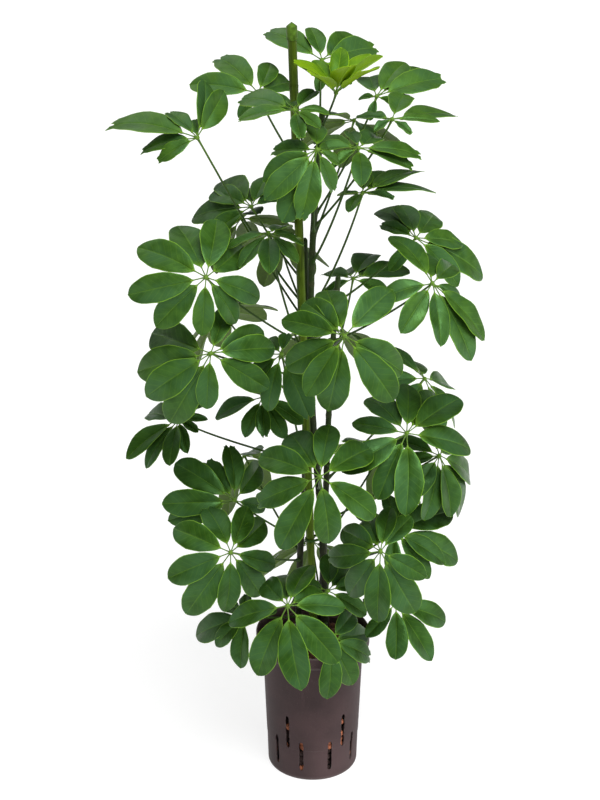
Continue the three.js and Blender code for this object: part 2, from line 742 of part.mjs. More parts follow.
// A compound leaf: its long stalk, the hub and the leaflets, as one body.
function makeLeaf(leaf, index) {
  const hub = vector(leaf.hub);
  const face = faceOf(leaf);
  const foot = onStem(STEMS[leaf.stem], leaf.foot);
  const span = hub.distanceTo(foot);
  const level = hub.clone().sub(foot).setZ(0).normalize();
  const away = Math.atan2(level.dot(face.right), level.dot(face.up));
  const reach = leaf.reach ?? LEAF_REACH;
  const order = leafletOrder(leaf, index);
  const leaflets = order.map(([clock, share = 1, roll = 0], i) => {
    const outer = Math.cos(THREE.MathUtils.degToRad(clock) - away);
    const length = reach * share * (1 + OUTER_GAIN * outer);
    const oddLast = order.length % 2 === 1 && i === order.length - 1;
    const layer = oddLast ? 3 : 2 * (i % 2) - 1;
    return leafletPlaces(hub, face, clock, leaf.droop + layer * LAYER_LEAN, length, roll);
  });
  const middle = new THREE.Vector3();
  leaflets.forEach((leaflet) => middle.addScaledVector(leaflet[2], 1 / leaflets.length));
  const curve = petioleCurve(foot, middle, level, face.out, span);
  const petiole = solid(tube(curve, PETIOLE_RADIUS, PETIOLE_SIDES, PETIOLE_STEPS));
  const made = makeWhorl(leaflets, face, middle).add(petiole.subtract(stemRooms[leaf.stem]));
  return node(leaf.name, made, leaf.young ? FINISHES.youngLeaf : FINISHES.leaf);
}

const plant = new THREE.Group();
plant.name = "potted_umbrella_plant";
plant.add(makePot(), makePebbles(), makeStake(), makeCap());
for (const [name, stem] of Object.entries(STEMS)) {
  plant.add(node("stem_" + name, stemSolid(stem), FINISHES.stem));
}
TIE_HEIGHTS.forEach((height, i) => plant.add(makeTie(height, i)));
LEAVES.forEach((leaf, i) => plant.add(makeLeaf(leaf, i)));

export default plant;
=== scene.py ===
import math
from collections import namedtuple

import bmesh
import bpy
import numpy as np
from bpy.props import FloatProperty, FloatVectorProperty, IntProperty, PointerProperty
from mathutils import Matrix, Vector, noise


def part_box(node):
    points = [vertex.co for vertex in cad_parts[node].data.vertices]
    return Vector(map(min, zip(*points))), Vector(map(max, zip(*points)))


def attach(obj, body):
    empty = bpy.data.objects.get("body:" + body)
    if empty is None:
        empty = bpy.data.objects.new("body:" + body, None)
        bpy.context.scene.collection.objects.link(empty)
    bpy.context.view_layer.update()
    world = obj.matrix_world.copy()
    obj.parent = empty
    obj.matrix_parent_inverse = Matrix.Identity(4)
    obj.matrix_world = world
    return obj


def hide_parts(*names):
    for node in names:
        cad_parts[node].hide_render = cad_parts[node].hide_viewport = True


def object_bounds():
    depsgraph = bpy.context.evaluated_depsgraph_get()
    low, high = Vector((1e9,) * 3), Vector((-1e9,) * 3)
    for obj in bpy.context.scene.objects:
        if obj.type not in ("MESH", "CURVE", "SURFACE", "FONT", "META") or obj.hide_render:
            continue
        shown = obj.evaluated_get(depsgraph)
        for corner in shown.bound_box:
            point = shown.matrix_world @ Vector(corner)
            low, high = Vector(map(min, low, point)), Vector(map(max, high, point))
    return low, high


bl_info = {
    "name": "Potted Umbrella Plant",
    "version": (1, 0, 0),
    "blender": (4, 5, 0),
    "location": "View3D > Sidebar > Plant",
    "description": "Builds the leaves, stems, stake, pot and pebbles of a potted umbrella plant",
    "category": "Add Mesh",
}

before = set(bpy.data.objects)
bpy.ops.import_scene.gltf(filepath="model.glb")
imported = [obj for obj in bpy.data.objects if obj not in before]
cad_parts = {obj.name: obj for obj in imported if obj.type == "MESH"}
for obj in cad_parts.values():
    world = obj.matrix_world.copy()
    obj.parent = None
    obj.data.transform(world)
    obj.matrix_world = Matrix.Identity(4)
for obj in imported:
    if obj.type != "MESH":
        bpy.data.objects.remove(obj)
CAD_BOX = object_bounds()
POT_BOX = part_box("growing_pot")

MM = 0.001

# Lengths below are in millimetres, in the frame's own axes: the pot stands on z = 0 and its front is
# towards -Y.

# The pot
SLOT_PHASE = 3.5  # degrees from the front to the middle of a gap between low slots
SECTORS = 20  # a slot's place lies in the middle of each
LOW_SLOT_SPAN = (14, 59)
HIGH_SLOT_SPAN = (46, 96)
STEP_HEIGHT = 46  # the faint line where the body gets a little wider
RIM_BAND_HEIGHT = 17
CLOSED = 0.05  # the radius to which a turned shape closes at the axis
POT_EDGE = 38  # an edge of the pot that turns by more degrees is sharp

# The stake
STAKE_FOOT = np.array([5.5, 0, 60])
STAKE_TOP = np.array([-26.5, 0, 986])
STAKE_JOINTS = (214, 402, 588, 771, 918)
STAKE_EDGE = 50  # an edge of the stake or cap that turns by more degrees is sharp

# Each stem's line from the pebbles up
Stem = namedtuple("Stem", "radius line")
STEMS = {
    "main": Stem(4.6, [(19, 9, 120), (17, 8, 200), (11, 7, 350), (-1, 8, 500), (-3, 8, 690),
                       (2, 6, 790), (9, 2, 885)]),
    "left": Stem(4.2, [(-16, 20, 120), (-19, 19, 200), (-17, 18, 290), (-11, 18, 400),
                       (-9, 19, 560), (-11, 22, 725)]),
    "right": Stem(4.2, [(12, 36, 120), (12, 35, 200), (16, 32, 350), (20, 32, 500),
                        (25, 34, 600), (30, 38, 672)]),
}
TIE_HEIGHTS = (330, 560)
TIE_AWAY = 1.15  # from the stake's and the stem's surface to the middle of a tie's band

FULL_REACH = 94  # from a leaf's hub to its tips
FULL_BLADE = 74  # the length of a blade that has the whole width of the settings
CROWN_HEIGHT = 780  # more blades have notched tips above it

# The compound leaves. name: what follows leaf_ in the frame. foot: the height where the petiole leaves its
# stem. hub: where the leaflets meet. turn and tilt: where the leaf looks, in degrees to the right of the
# front and up from level. droop: how far the leaflets lean back. clocks: where each leaflet points, in
# degrees clockwise from the top of the leaf as it is looked at, with its share of the reach where that is
# not 1, and how far it is turned about its own length where that is not 0. reach: from the hub to the tips.
Leaf = namedtuple("Leaf", "name stem foot hub turn tilt droop clocks reach young",
                  defaults=(FULL_REACH, False))
BACK_CLOCKS = (8, 58, 108, 158, 208, 260, 310)  # the leaflets of the leaves behind, which vary a little
LEAVES = [
    Leaf("top_lime", "main", 868, (24, -30, 917), 0, 84, -44,
         [10, 50, 92, 130, 168, 208, 250, 290, 332], reach=66, young=True),
    Leaf("top_behind", "main", 850, (9, 60, 936), 15, 40, 18,
         [(2, 0.6), (48, 0.9), (68, 0.92), (114, 0.55), (190, 0.45), 325]),
    Leaf("crown_left", "left", 640, (-136, -20, 862), -15, 45, 4,
         [(1, 0.86, 60), (14, 0.87, 45), (236, 0.5), (264, 0.7, 12), (285, 1.13, 24), (314, 0.68, 24),
          (338, 0.4)], reach=100),
    Leaf("crown_left_inner", "main", 790, (-67, 50, 899), 15, 40, 20,
         [(31, 0.73), (58, 0.8), (108, 0.6), (230, 0.4), (297, 0.86), (341, 0.95)]),
    Leaf("by_stake", "main", 800, (-23, -74, 907), -10, 68, 2,
         [(20, 0.74), (74, 0.53), (128, 0.52), (164, 0.51), (259, 0.79), (303, 1.18), (345, 0.6)],
         reach=80),
    Leaf("front_top", "main", 740, (2, -115, 872), 25, 45, 28,
         [(24, 0.9), (68, 0.45), (112, 0.42), (155, 0.55), (204, 0.79), (218, 0.88), (242, 0.8),
          (266, 0.72), (313, 0.7)]),
    Leaf("crown_front_right", "main", 700, (49, -68, 862), 20, 72, 4,
         [(8, 0.7), (44, 0.98), (100, 0.96), (115, 0.83), (195, 0.75), (248, 0.52), (290, 0.7),
          (325, 0.9)], reach=78),
    Leaf("crown_right_low", "main", 640, (57, 0, 791), 10, 84, -4,
         [(16, 0.6), (38, 1.05), (58, 1.05), 76, (125, 0.4), (215, 0.5), (300, 0.4)]),
    Leaf("crown_right_high", "main", 760, (74, 52, 894.5), -10, 50, 16,
         [(18, 0.9), (30, 1.15), (53, 1.09), (96, 0.36), (190, 0.4), (282, 0.35), (342, 1.19)], reach=84),
    Leaf("crown_right", "main", 746, (89.5, -12, 882), 10, 72, 3,
         [(24, 0.98), (66, 1.19), (92, 0.65), (140, 0.35), (235, 0.4), (304, 0.66), (325, 0.75)],
         reach=82),
    Leaf("upper_left_inner", "left", 568, (-54, -52, 757.5), 0, 84, 14,
         [20, (52, 0.75), (95, 0.6), (135, 0.7), (178, 0.85), (215, 0.7), (255, 0.6), (300, 0.75), 340],
         reach=78),
    Leaf("upper_left_behind", "left", 670, (-76, 30, 765), -15, 45, 20,
         [(5, 0.7), (40, 0.7), (240, 0.7), (275, 1.04), (299, 0.82), (317, 1.08), (343, 0.8)]),
    Leaf("left_upper", "left", 590, (-124, -110, 722), 15, 30, 22,
         [(22, 1.04), (56, 1.1), (108, 0.93), (141, 0.82), (189, 0.72), (235, 0.85), (265, 0.94),
          (312, 1.04), (352, 1.18)]),
    Leaf("left_middle", "left", 548, (-120, -120, 633), 0, 30, 22,
         [(17, 0.77), 61, 80, 120, (187, 0.7), (213, 1.08), 240, (263, 1.1), (295, 1.18)]),
    Leaf("left_far", "left", 430, (-171, 20, 490), -40, 60, 10,
         [(10, 0.6), (50, 0.5), (95, 0.45), (135, 0.6), (156, 0.77), (194, 0.84), (216, 0.94), 276,
          (320, 0.8)], reach=84),
    Leaf("inner_left", "left", 440, (-63, -35, 543), -20, 60, 20,
         [(104, 0.8), (137, 0.74), (164, 0.63), (197, 0.64), (254, 0.88), (320, 0.6)], reach=78),
    Leaf("inner_front", "left", 430, (-39, -75, 615), -10, 45, 25,
         [(0, 0.6), 150, (195, 0.8), (240, 0.8), (276, 0.85), (320, 0.7)], reach=82),
    Leaf("front_middle", "main", 580, (33, -170, 673), 0, 30, 25,
         [(40, 1.06), (114, 0.95), 138, 192, (216, 0.88), (247, 0.96), 292, 318, (343, 1.18)]),
    Leaf("right_upper", "right", 590, (137, -80, 705), 40, 50, 12,
         [(9, 1.18), 36, (68, 0.9), (118, 0.6), 146, (167, 1.08), (200, 0.82), (240, 0.82), (288, 0.8)],
         reach=88),
    Leaf("right_behind", "right", 640, (125, 40, 723), 15, 50, 22,
         [(4, 0.89), 40, (86, 0.78), (102, 1.18), (132, 0.82), (230, 0.6), (318, 0.65), (350, 1.15)]),
    Leaf("right_inner", "right", 560, (49, 60, 664), -10, 60, 22,
         [8, 28, 50, (90, 0.6), (250, 0.6), (310, 0.86), (338, 1.18)], reach=84),
    Leaf("front_low", "main", 400, (6, -180, 504), 0, 40, 25,
         [8, (50, 1.19), (118, 0.88), (168, 0.85), 212, 256, (300, 1.06), (334, 1.19)]),
    Leaf("right_middle", "right", 420, (111.5, -82, 515.5), 15, 50, 12,
         [18, (43, 1.19), (58, 1.13), (98, 1.02), 188, (216, 0.9), 248, (300, 0.85), (346, 1.18)]),
    Leaf("right_middle_behind", "right", 340, (160, 6, 446), 45, 40, 22,
         [(30, 0.8), (75, 0.8), (120, 0.95), (150, 1.08), (178, 0.85), (206, 0.9), (240, 0.8), (290, 0.6),
          (340, 0.8)]),
    Leaf("left_low_behind", "left", 320, (-99, -30, 400), 25, 22, 22,
         [(16, 0.87), 58, (112, 0.7), (262, 0.9), (277, 0.91), (317, 0.95), (342, 0.75)]),
    Leaf("left_low", "left", 290, (-101, -120, 374), 15, 30, 25,
         [(32, 0.88), 60, (110, 0.85), (144, 0.93), (184, 0.85), (220, 1.06), (256, 0.87), (304, 0.92),
          (352, 1.01)]),
    Leaf("front_bottom", "left", 256, (-32, -188, 339), -15, 50, 25,
         [(4, 0.95), (40, 0.7), (71, 0.8), (124, 0.95), 166, 206, 260, (310, 0.95), (336, 1.19)]),
    Leaf("left_bottom", "left", 205, (-86, -66, 255), -20, 45, 20,
         [(60, 0.5), (185, 0.72), (222, 0.62), 250, (292, 0.6), (335, 0.5)], reach=92),
    Leaf("right_bottom_small", "main", 202, (22, -87, 232), 15, 40, 25,
         [52, (84, 1.12), 112, 152, 184, (290, 0.9), 324], reach=74),
    Leaf("right_low", "main", 290, (80, -130, 381), -15, 30, 25,
         [(0, 0.75), (28, 0.74), (112, 0.67), 148, 180, 216, 256, 292, (324, 0.9)]),
    Leaf("right_low_behind", "right", 260, (104, -20, 352), 20, 50, 14,
         [(12, 0.7), (38, 0.75), (74, 1.05), (112, 1.04), (126, 0.78), (146, 0.75), (200, 0.6),
          (320, 0.7)], reach=98),
    Leaf("right_bottom", "right", 215, (106, -45, 262), 25, 50, 15,
         [(40, 0.6), (85, 0.6), (116, 0.9), 156, (196, 0.8), (236, 0.68), (300, 0.6)], reach=86),
    Leaf("inner_low", "left", 218, (18, -82, 300), 0, 50, 22,
         [4, 34, (66, 0.9), (110, 0.8), (250, 0.6), (300, 0.8)], reach=76),
    Leaf("back_top", "main", 730, (50, 120, 850), 160, 55, 15, BACK_CLOCKS, reach=80),
    Leaf("back_crown_left", "left", 620, (-92, 118, 725), -140, 50, 14, BACK_CLOCKS, reach=80),
    Leaf("back_upper", "left", 630, (-42, 100, 700), 175, 50, 14, BACK_CLOCKS, reach=76),
    Leaf("back_left", "left", 500, (-120, 95, 610), -125, 45, 16, BACK_CLOCKS, reach=82),
    Leaf("back_right", "right", 400, (146, 98, 514), 70, 50, 12, BACK_CLOCKS, reach=84),
    Leaf("back_middle", "right", 450, (30, 160, 560), 170, 45, 16, BACK_CLOCKS, reach=88),
    Leaf("back_low_left", "left", 300, (-92, 118, 395), -145, 42, 18, BACK_CLOCKS, reach=86),
    Leaf("back_low_right", "right", 310, (95, 125, 400), 145, 42, 18, BACK_CLOCKS, reach=88),
    Leaf("back_bottom", "right", 214, (0, 122, 264), 180, 40, 22, BACK_CLOCKS, reach=88),
]


# Colours that no setting holds
PORE_BROWN = (0.1, 0.09, 0.045)
SCAR_BROWN = (0.07, 0.06, 0.03)
POT_DUST = (0.3, 0.24, 0.22)
WORN_PLASTIC = (0.2, 0.165, 0.155)
CLAY_PORE = (0.012, 0.006, 0.005)
CLAY_DUST = (0.36, 0.27, 0.24)

# The stage, in metres. Each light has its kind, its width (an angle for a sun) and its place.
LIGHTS = {
    "key": ("SUN", math.radians(40), (0.7, -1.6, 3.2)),
    "back": ("SUN", math.radians(60), (-1.0, 1.3, 2.6)),
    "side": ("AREA", 1.2, (2.0, -0.7, 0.9)),
}
FLOOR_REACH = 90  # from the pot to each side of the floor


# ---- Settings ----

def amount(name, description, default, **options):
    """A number from 0 up that a user may change."""
    return FloatProperty(name=name, description=description, default=default, min=0, **options)


def length(name, description, millimetres):
    """A length that a user may change, given in millimetres."""
    return amount(name, description, millimetres * MM, unit="LENGTH", precision=4)


def colour(name, description, *shade):
    """A linear colour that a user may change."""
    return FloatVectorProperty(name=name, description=description, default=shade, subtype="COLOR", size=3,
                               min=0, max=1)


def group(kind, name, description):
    """A group of settings."""
    return PointerProperty(type=kind, name=name, description=description)


class PotSettings(bpy.types.PropertyGroup):
    """Sizes and colours of the growing pot."""

    height: length("Height", "From the underside to the rim", POT_BOX[1].z / MM)
    rim_radius: length("Rim radius", "Outer radius of the rim band", 75)
    neck_radius: length("Neck radius", "Outer radius just below the rim band", 66.5)
    foot_radius: length("Foot radius", "Outer radius at the underside", 60)
    wall: length("Wall", "Thickness of the wall", 1.8)
    floor: length("Floor", "Thickness of the floor", 3)
    slot_width: length("Slot width", "Width of the drain slots", 5.6)
    plastic: colour("Plastic", "Colour of the pot", 0.062, 0.036, 0.037)


class PebbleSettings(bpy.types.PropertyGroup):
    """Sizes and colours of the clay pebbles."""

    level: length("Level", "Height of the filling's top", 177)
    smallest: length("Smallest", "Radius of the smallest pebble", 4.6)
    largest: length("Largest", "Radius of the largest pebble", 8.2)
    count: IntProperty(name="Count", description="Pebbles in the top layer", default=150, min=1)
    damp: colour("Damp clay", "Colour of the dark pebbles", 0.035, 0.016, 0.014)
    dry: colour("Dry clay", "Colour of the bright pebbles", 0.62, 0.2, 0.09)


class StakeSettings(bpy.types.PropertyGroup):
    """Sizes and colours of the stake, its cap and the plant ties."""

    radius: length("Radius", "Radius of the stake", 5.4)
    cap_radius: length("Cap radius", "Radius of the cap", 6.4)
    cap_skirt: length("Cap skirt", "Height of the cap's straight part", 15.4)
    cap_height: length("Cap height", "Height of the whole cap", 20.4)
    coating: colour("Coating", "Colour of the stake", 0.077, 0.124, 0.007)
    cap: colour("Cap", "Colour of the cap", 0.085, 0.165, 0.016)
    tie: colour("Tie", "Colour of the plant ties", 0.03, 0.075, 0.015)


class StemSettings(bpy.types.PropertyGroup):
    """Colours of the stems' bark."""

    young: colour("Young bark", "Colour near a stem's tip", 0.025, 0.052, 0.008)
    old: colour("Old bark", "Colour near a stem's foot", 0.018, 0.024, 0.008)


class LeafSettings(bpy.types.PropertyGroup):
    """Sizes and colours of the compound leaves."""

    petiole_radius: length("Petiole radius", "Radius of the long leaf stalks", 1.45)
    leaflet_stalk: length("Leaflet stalk", "From the hub to a blade, on a leaf of full reach", 15.5)
    leaflet_width: length("Leaflet width", "Width of a blade, on a leaf of full reach", 33.5)
    blade_share: amount("Blade share", "Length of a blade, as a share of its room", 0.975, subtype="FACTOR")
    thickness: length("Thickness", "Thickness of a blade between its veins", 0.7)
    fold: length("Fold", "How far the midrib lies below the margins", 3.3)
    arch: amount("Arch", "How far a tip bends back, as a share of the blade", 0.16, subtype="FACTOR")
    # Grown blades run from dark through green to fresh green as their hub rises. This is partly age, partly
    # painted shade on the low leaves and painted light on the top ones.
    dark: colour("Dark green", "Colour of the shaded mottling", 0.01, 0.033, 0.0006)
    green: colour("Green", "Colour of a grown blade", 0.033, 0.09, 0.01)
    fresh: colour("Fresh green", "Colour of the lightest grown blades, near the top", 0.059, 0.134, 0.014)
    margin: colour("Margin", "Colour of a blade's margin", 0.17, 0.33, 0.02)
    # The young green is laid darker on the whorl's back blades as painted shade. It also colours the young
    # blades' undersides as painted light.
    young: colour("Young green", "Colour of a young blade", 0.25, 0.42, 0.004)
    underside: colour("Underside", "Colour of a blade's underside", 0.15, 0.24, 0.06)
    stalk: colour("Stalk", "Colour of the leaflets' stalks", 0.1, 0.2, 0.02)
    petiole: colour("Petiole", "Colour of the long stalks", 0.03, 0.074, 0.005)


class StageSettings(bpy.types.PropertyGroup):
    """The camera, the floor and the lights."""

    camera_place: FloatVectorProperty(name="Camera place", description="Where the camera stands",
                                      default=(-0.017, -1.92, 1.326), subtype="TRANSLATION", size=3)
    camera_pitch: amount("Camera pitch", "How far the camera looks down", math.radians(22.66),
                         subtype="ANGLE")
    focal_length: amount("Focal length", "Focal length on a 36 mm sensor", 75.15, unit="CAMERA")
    key_strength: amount("Key light", "Strength of the soft light from above", 3.7)
    back_strength: amount("Back light", "Strength of the soft light from behind", 0.75)
    side_strength: amount("Side light", "Power of the light at the right", 12, unit="POWER")
    sky: amount("Room light", "Strength of the light from all round", 0.08)
    floor_glow: amount("Floor glow", "Light that the floor gives off itself", 0.81)
    floor: colour("Floor", "Colour of the floor", 0.26, 0.26, 0.26)


class PlantSettings(bpy.types.PropertyGroup):
    """All settings of the potted umbrella plant."""

    pot: group(PotSettings, "Pot", "The growing pot")
    pebbles: group(PebbleSettings, "Pebbles", "The clay pebbles")
    stake: group(StakeSettings, "Stake", "The stake and its ties")
    stems: group(StemSettings, "Stems", "The stems")
    leaves: group(LeafSettings, "Leaves", "The compound leaves")
    stage: group(StageSettings, "Stage", "Camera, floor and lights")


def settings():
    """The scene's plant settings."""
    return bpy.context.scene.umbrella_plant


# ---- Shapes ----

def chance(seed):
    """A number from 0 to 1 that is the same every time for a seed."""
    wave = math.sin(seed * 12.9898 + 4.1) * 43758.5453
    return wave - math.floor(wave)


def between(seed, low, high):
    """A number from low to high that is the same every time for a seed."""
    return low + (high - low) * chance(seed)


def unit(vector):
    """A vector, or each row of vectors, at length one."""
    vector = np.asarray(vector, float)
    return vector / np.linalg.norm(vector, axis=-1, keepdims=True)


def smooth_step(values, start, end):
    """Values eased from 0 at start to 1 at end."""
    share = np.clip((np.asarray(values, float) - start) / (end - start), 0, 1)
    return share * share * (3 - 2 * share)


def swell(values, middle, width):
    """A swelling of height one about a middle, at each value."""
    return np.exp(-(((values - middle) / width) ** 2))


def circle(sides):
    """Points of a circle of radius one."""
    angles = np.linspace(0, 2 * np.pi, sides, endpoint=False)
    return np.column_stack([np.cos(angles), np.sin(angles)])


def rounded(profile, size):
    """A profile of radius and height whose inner corners are rounded off by a size."""
    profile = [np.asarray(point, float) for point in profile]
    points = [profile[0]]
    for before, corner, after in zip(profile, profile[1:], profile[2:]):
        near = min(size, np.linalg.norm(before - corner) / 2, np.linalg.norm(after - corner) / 2)
        start = corner + unit(before - corner) * near
        end = corner + unit(after - corner) * near
        for share in np.linspace(0, 1, 4):
            points.append((1 - share) ** 2 * start + 2 * share * (1 - share) * corner + share**2 * end)
    return [*points, profile[-1]]


class Piece:
    """The faces of one object as they are made: places in millimetres, faces with a finish, and for each
    place a UV and a tone from 0 to 1."""

    def __init__(self, name):
        self.name = name
        self.places, self.uvs, self.tones = [], [], []
        self.faces, self.finishes = [], []
        self.count = 0

    def add(self, places, faces, finish=0, uv=(0, 0), tone=0.5):
        """Adds places with the faces between them. finish, uv and tone are one for all, or one for each."""
        places = np.asarray(places, float).reshape(-1, 3)
        self.places.append(places)
        self.uvs.append(np.broadcast_to(np.asarray(uv, float).reshape(-1, 2), (len(places), 2)))
        self.tones.append(np.broadcast_to(np.asarray(tone, float).ravel(), (len(places),)))
        self.faces.extend(tuple(corner + self.count for corner in face) for face in faces)
        self.finishes.extend(np.broadcast_to(finish, (len(faces),)).tolist())
        self.count += len(places)

    def add_loops(self, loops, finish=0, uv=None, tone=0.5, ends="cap"):
        """Adds a skin over loops of places, rows by corners. finish is one for all or one for each corner,
        tone one for all or one for each row. ends is cap, join for a ring that closes on itself, or zip for
        loops that lie flat."""
        rows, corners = loops.shape[:2]
        finish = np.broadcast_to(finish, (corners,))
        faces, finishes = [], []
        for row in range(rows if ends == "join" else rows - 1):
            here, there = row * corners, (row + 1) % rows * corners
            for corner in range(corners):
                after = (corner + 1) % corners
                faces.append((here + corner, here + after, there + after, there + corner))
                finishes.append(finish[corner])
        for start in () if ends == "join" else (0, (rows - 1) * corners):
            ring = [start + corner for corner in range(corners)]
            if ends == "cap":
                faces.append(tuple(ring))
                finishes.append(finish[0])
                continue
            for corner in range(corners // 2 - 1):
                faces.append((ring[corner], ring[corner + 1], ring[-2 - corner], ring[-1 - corner]))
                finishes.append(finish[corner])
        if uv is None:
            along = np.repeat(np.linspace(0, 1, rows), corners)
            uv = np.stack([along, np.tile(np.linspace(0, 1, corners), rows)], axis=-1)
        self.add(loops, faces, finishes, uv, np.repeat(np.broadcast_to(tone, (rows,)), corners))

    def make(self, materials, node):
        """The finished object, in metres, in place of a CAD node."""
        mesh = bpy.data.meshes.new(self.name)
        mesh.from_pydata((np.concatenate(self.places) * MM).tolist(), [], self.faces)
        mesh.polygons.foreach_set("material_index", self.finishes)
        shell = bmesh.new()
        shell.from_mesh(mesh)
        bmesh.ops.recalc_face_normals(shell, faces=shell.faces)
        shell.to_mesh(mesh)
        shell.free()
        corners = np.empty(len(mesh.loops), int)
        mesh.loops.foreach_get("vertex_index", corners)
        uv_map = mesh.uv_layers.new(name="surface")
        uv_map.data.foreach_set("uv", np.concatenate(self.uvs)[corners].astype(np.float32).ravel())
        tone = mesh.attributes.new("tone", "FLOAT", "POINT")
        tone.data.foreach_set("value", np.concatenate(self.tones).astype(np.float32))
        mesh.polygons.foreach_set("use_smooth", [True] * len(mesh.polygons))
        for material in materials:
            mesh.materials.append(material)
        made = bpy.data.objects.new(self.name, mesh)
        bpy.context.scene.collection.objects.link(made)
        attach(made, "root")
        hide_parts(node)
        return made


def tube(line, radii, sides):
    """Loops of a round tube along a line of places, with a radius at each."""
    line = np.asarray(line, float)
    ways = unit(np.gradient(line, axis=0))
    across = unit(np.cross(ways[0], (0.31, 0.87, 0.38)))  # any way but the line's own
    loops = []
    for place, way, radius in zip(line, ways, np.broadcast_to(radii, (len(line),))):
        across = unit(across - way * np.dot(across, way))
        loops.append(place + radius * circle(sides) @ np.array([across, np.cross(way, across)]))
    return np.array(loops)


def lathe(profile, sides):
    """Loops about the Z axis through points of radius and height."""
    return np.array([np.column_stack([circle(sides) * radius, np.full(sides, height)])
                     for radius, height in profile])


def on_stem(stem, heights):
    """The places on a stem's line at heights, on a smooth curve through its points."""
    points = np.array(stem.line, float)
    slopes = np.gradient(points[:, :2], points[:, 2], axis=0)
    heights = np.clip(np.atleast_1d(np.asarray(heights, float)), points[0, 2], points[-1, 2])
    index = np.clip(np.searchsorted(points[:, 2], heights) - 1, 0, len(points) - 2)
    low, high = points[index], points[index + 1]
    span = (high[:, 2] - low[:, 2])[:, None]
    share = (heights[:, None] - low[:, 2:]) / span
    flat = ((1 + 2 * share) * (1 - share) ** 2 * low[:, :2] + share**2 * (3 - 2 * share) * high[:, :2]
            + share * (1 - share) ** 2 * span * slopes[index]
            - share**2 * (1 - share) * span * slopes[index + 1])
    return np.column_stack([flat, heights])


def stake_at(height):
    """The place on the stake's axis at a height."""
    share = (height - STAKE_FOOT[2]) / (STAKE_TOP[2] - STAKE_FOOT[2])
    return STAKE_FOOT + (STAKE_TOP - STAKE_FOOT) * share


def bezier(first, second, third, fourth, steps):
    """Places along a cubic curve."""
    share = np.linspace(0, 1, steps)[:, None]
    return ((1 - share) ** 3 * first + 3 * share * (1 - share) ** 2 * second
            + 3 * share**2 * (1 - share) * third + share**3 * fourth)


# ---- Materials ----

def scaled(shade, *factors):
    """A colour whose parts are multiplied by one factor, or each by its own."""
    return [part * factor for part, factor in zip(shade, factors * 3)]


class Value:
    """A socket of a material's nodes, in expressions that add Math nodes."""

    def __init__(self, finish, socket):
        self.finish, self.socket = finish, socket

    def maths(self, operation, *values):
        """The result of a Math node on values."""
        return self.finish.add("ShaderNodeMath", {"operation": operation}, dict(enumerate(values)))[0]

    def __add__(self, other):
        return self.maths("ADD", self, other)

    __radd__ = __add__

    def __sub__(self, other):
        return self.maths("SUBTRACT", self, other)

    def __rsub__(self, other):
        return self.maths("SUBTRACT", other, self)

    def __mul__(self, other):
        return self.maths("MULTIPLY", self, other)

    __rmul__ = __mul__

    def __abs__(self):
        return self.maths("ABSOLUTE", self)

    def fraction(self):
        """What is left of the value above its whole number."""
        return self.maths("FRACT", self)


class Outputs:
    """A node's outputs as values, by name or number."""

    def __init__(self, finish, node):
        self.finish, self.node = finish, node

    def __getitem__(self, key):
        return Value(self.finish, self.node.outputs[key])


class Finish:
    """A material in the making, with a ground colour that others are laid over."""

    def __init__(self, name, ground):
        self.material = bpy.data.materials.new(name)
        self.material.use_nodes = True
        self.tree = self.material.node_tree
        self.tree.nodes.clear()
        self.ground = ground

    def add(self, kind, options=None, sockets=None):
        """Adds a node of a kind, sets its options, then its sockets' values or links."""
        node = self.tree.nodes.new(kind)
        for name, option in (options or {}).items():
            setattr(node, name, option)
        for key, value in (sockets or {}).items():
            if isinstance(value, Value):
                self.tree.links.new(value.socket, node.inputs[key])
            elif node.inputs[key].type == "RGBA":
                node.inputs[key].default_value = (*value, 1)
            else:
                node.inputs[key].default_value = value
        return Outputs(self, node)

    def surface(self):
        """The surface's own two directions, each from 0 to 1."""
        uv = self.add("ShaderNodeUVMap", {"uv_map": "surface"})["UV"]
        parts = self.add("ShaderNodeSeparateXYZ", sockets={0: uv})
        return parts["X"], parts["Y"]

    def tone(self):
        """The piece's own tone, from 0 to 1."""
        return self.add("ShaderNodeAttribute", {"attribute_name": "tone"})["Fac"]

    def noise(self, scale, detail=2, squeeze=1):
        """Soft noise from 0 to 1, with features of about 1 / scale metres, drawn out in height where squeeze
        is below 1."""
        place = self.add("ShaderNodeTexCoord")["Object"]
        if squeeze != 1:
            sockets = {0: place, 1: (1, 1, squeeze)}
            place = self.add("ShaderNodeVectorMath", {"operation": "MULTIPLY"}, sockets)["Vector"]
        sockets = {"Vector": place, "Scale": scale, "Detail": detail}
        return self.add("ShaderNodeTexNoise", sockets=sockets)["Fac"]

    def ease(self, value, start, end):
        """A value eased from 0 at start to 1 at end."""
        sockets = {"Value": value, "From Min": start, "From Max": end}
        return self.add("ShaderNodeMapRange", {"interpolation_type": "SMOOTHSTEP"}, sockets)["Result"]

    def spots(self, scale, detail, start, end, squeeze=1):
        """Spots with soft edges: noise eased from 0 at start to 1 at end."""
        return self.ease(self.noise(scale, detail, squeeze), start, end)

    def blend(self, factor, first, second):
        """A colour from the first at factor 0 to the second at factor 1."""
        return self.add("ShaderNodeMix", {"data_type": "RGBA"}, {0: factor, 6: first, 7: second})[2]

    def lay(self, mask, shade):
        """Lays a colour over the ground where a mask is 1."""
        self.ground = self.blend(mask, self.ground, shade)

    def close(self, roughness, relief=None, **sockets):
        """Ends the material in one shader, and returns it. relief is a height, its strength and how deep it
        is in metres. sockets are the shader's others, by name."""
        named = {name.replace("_", " "): value for name, value in sockets.items()}
        named |= {"Base Color": self.ground, "Roughness": roughness}
        if relief:
            bump = dict(zip(("Height", "Strength", "Distance"), relief))
            named["Normal"] = self.add("ShaderNodeBump", sockets=bump)["Normal"]
        shader = self.add("ShaderNodeBsdfPrincipled", sockets=named)["BSDF"]
        self.add("ShaderNodeOutputMaterial", sockets={"Surface": shader})
        return self.material


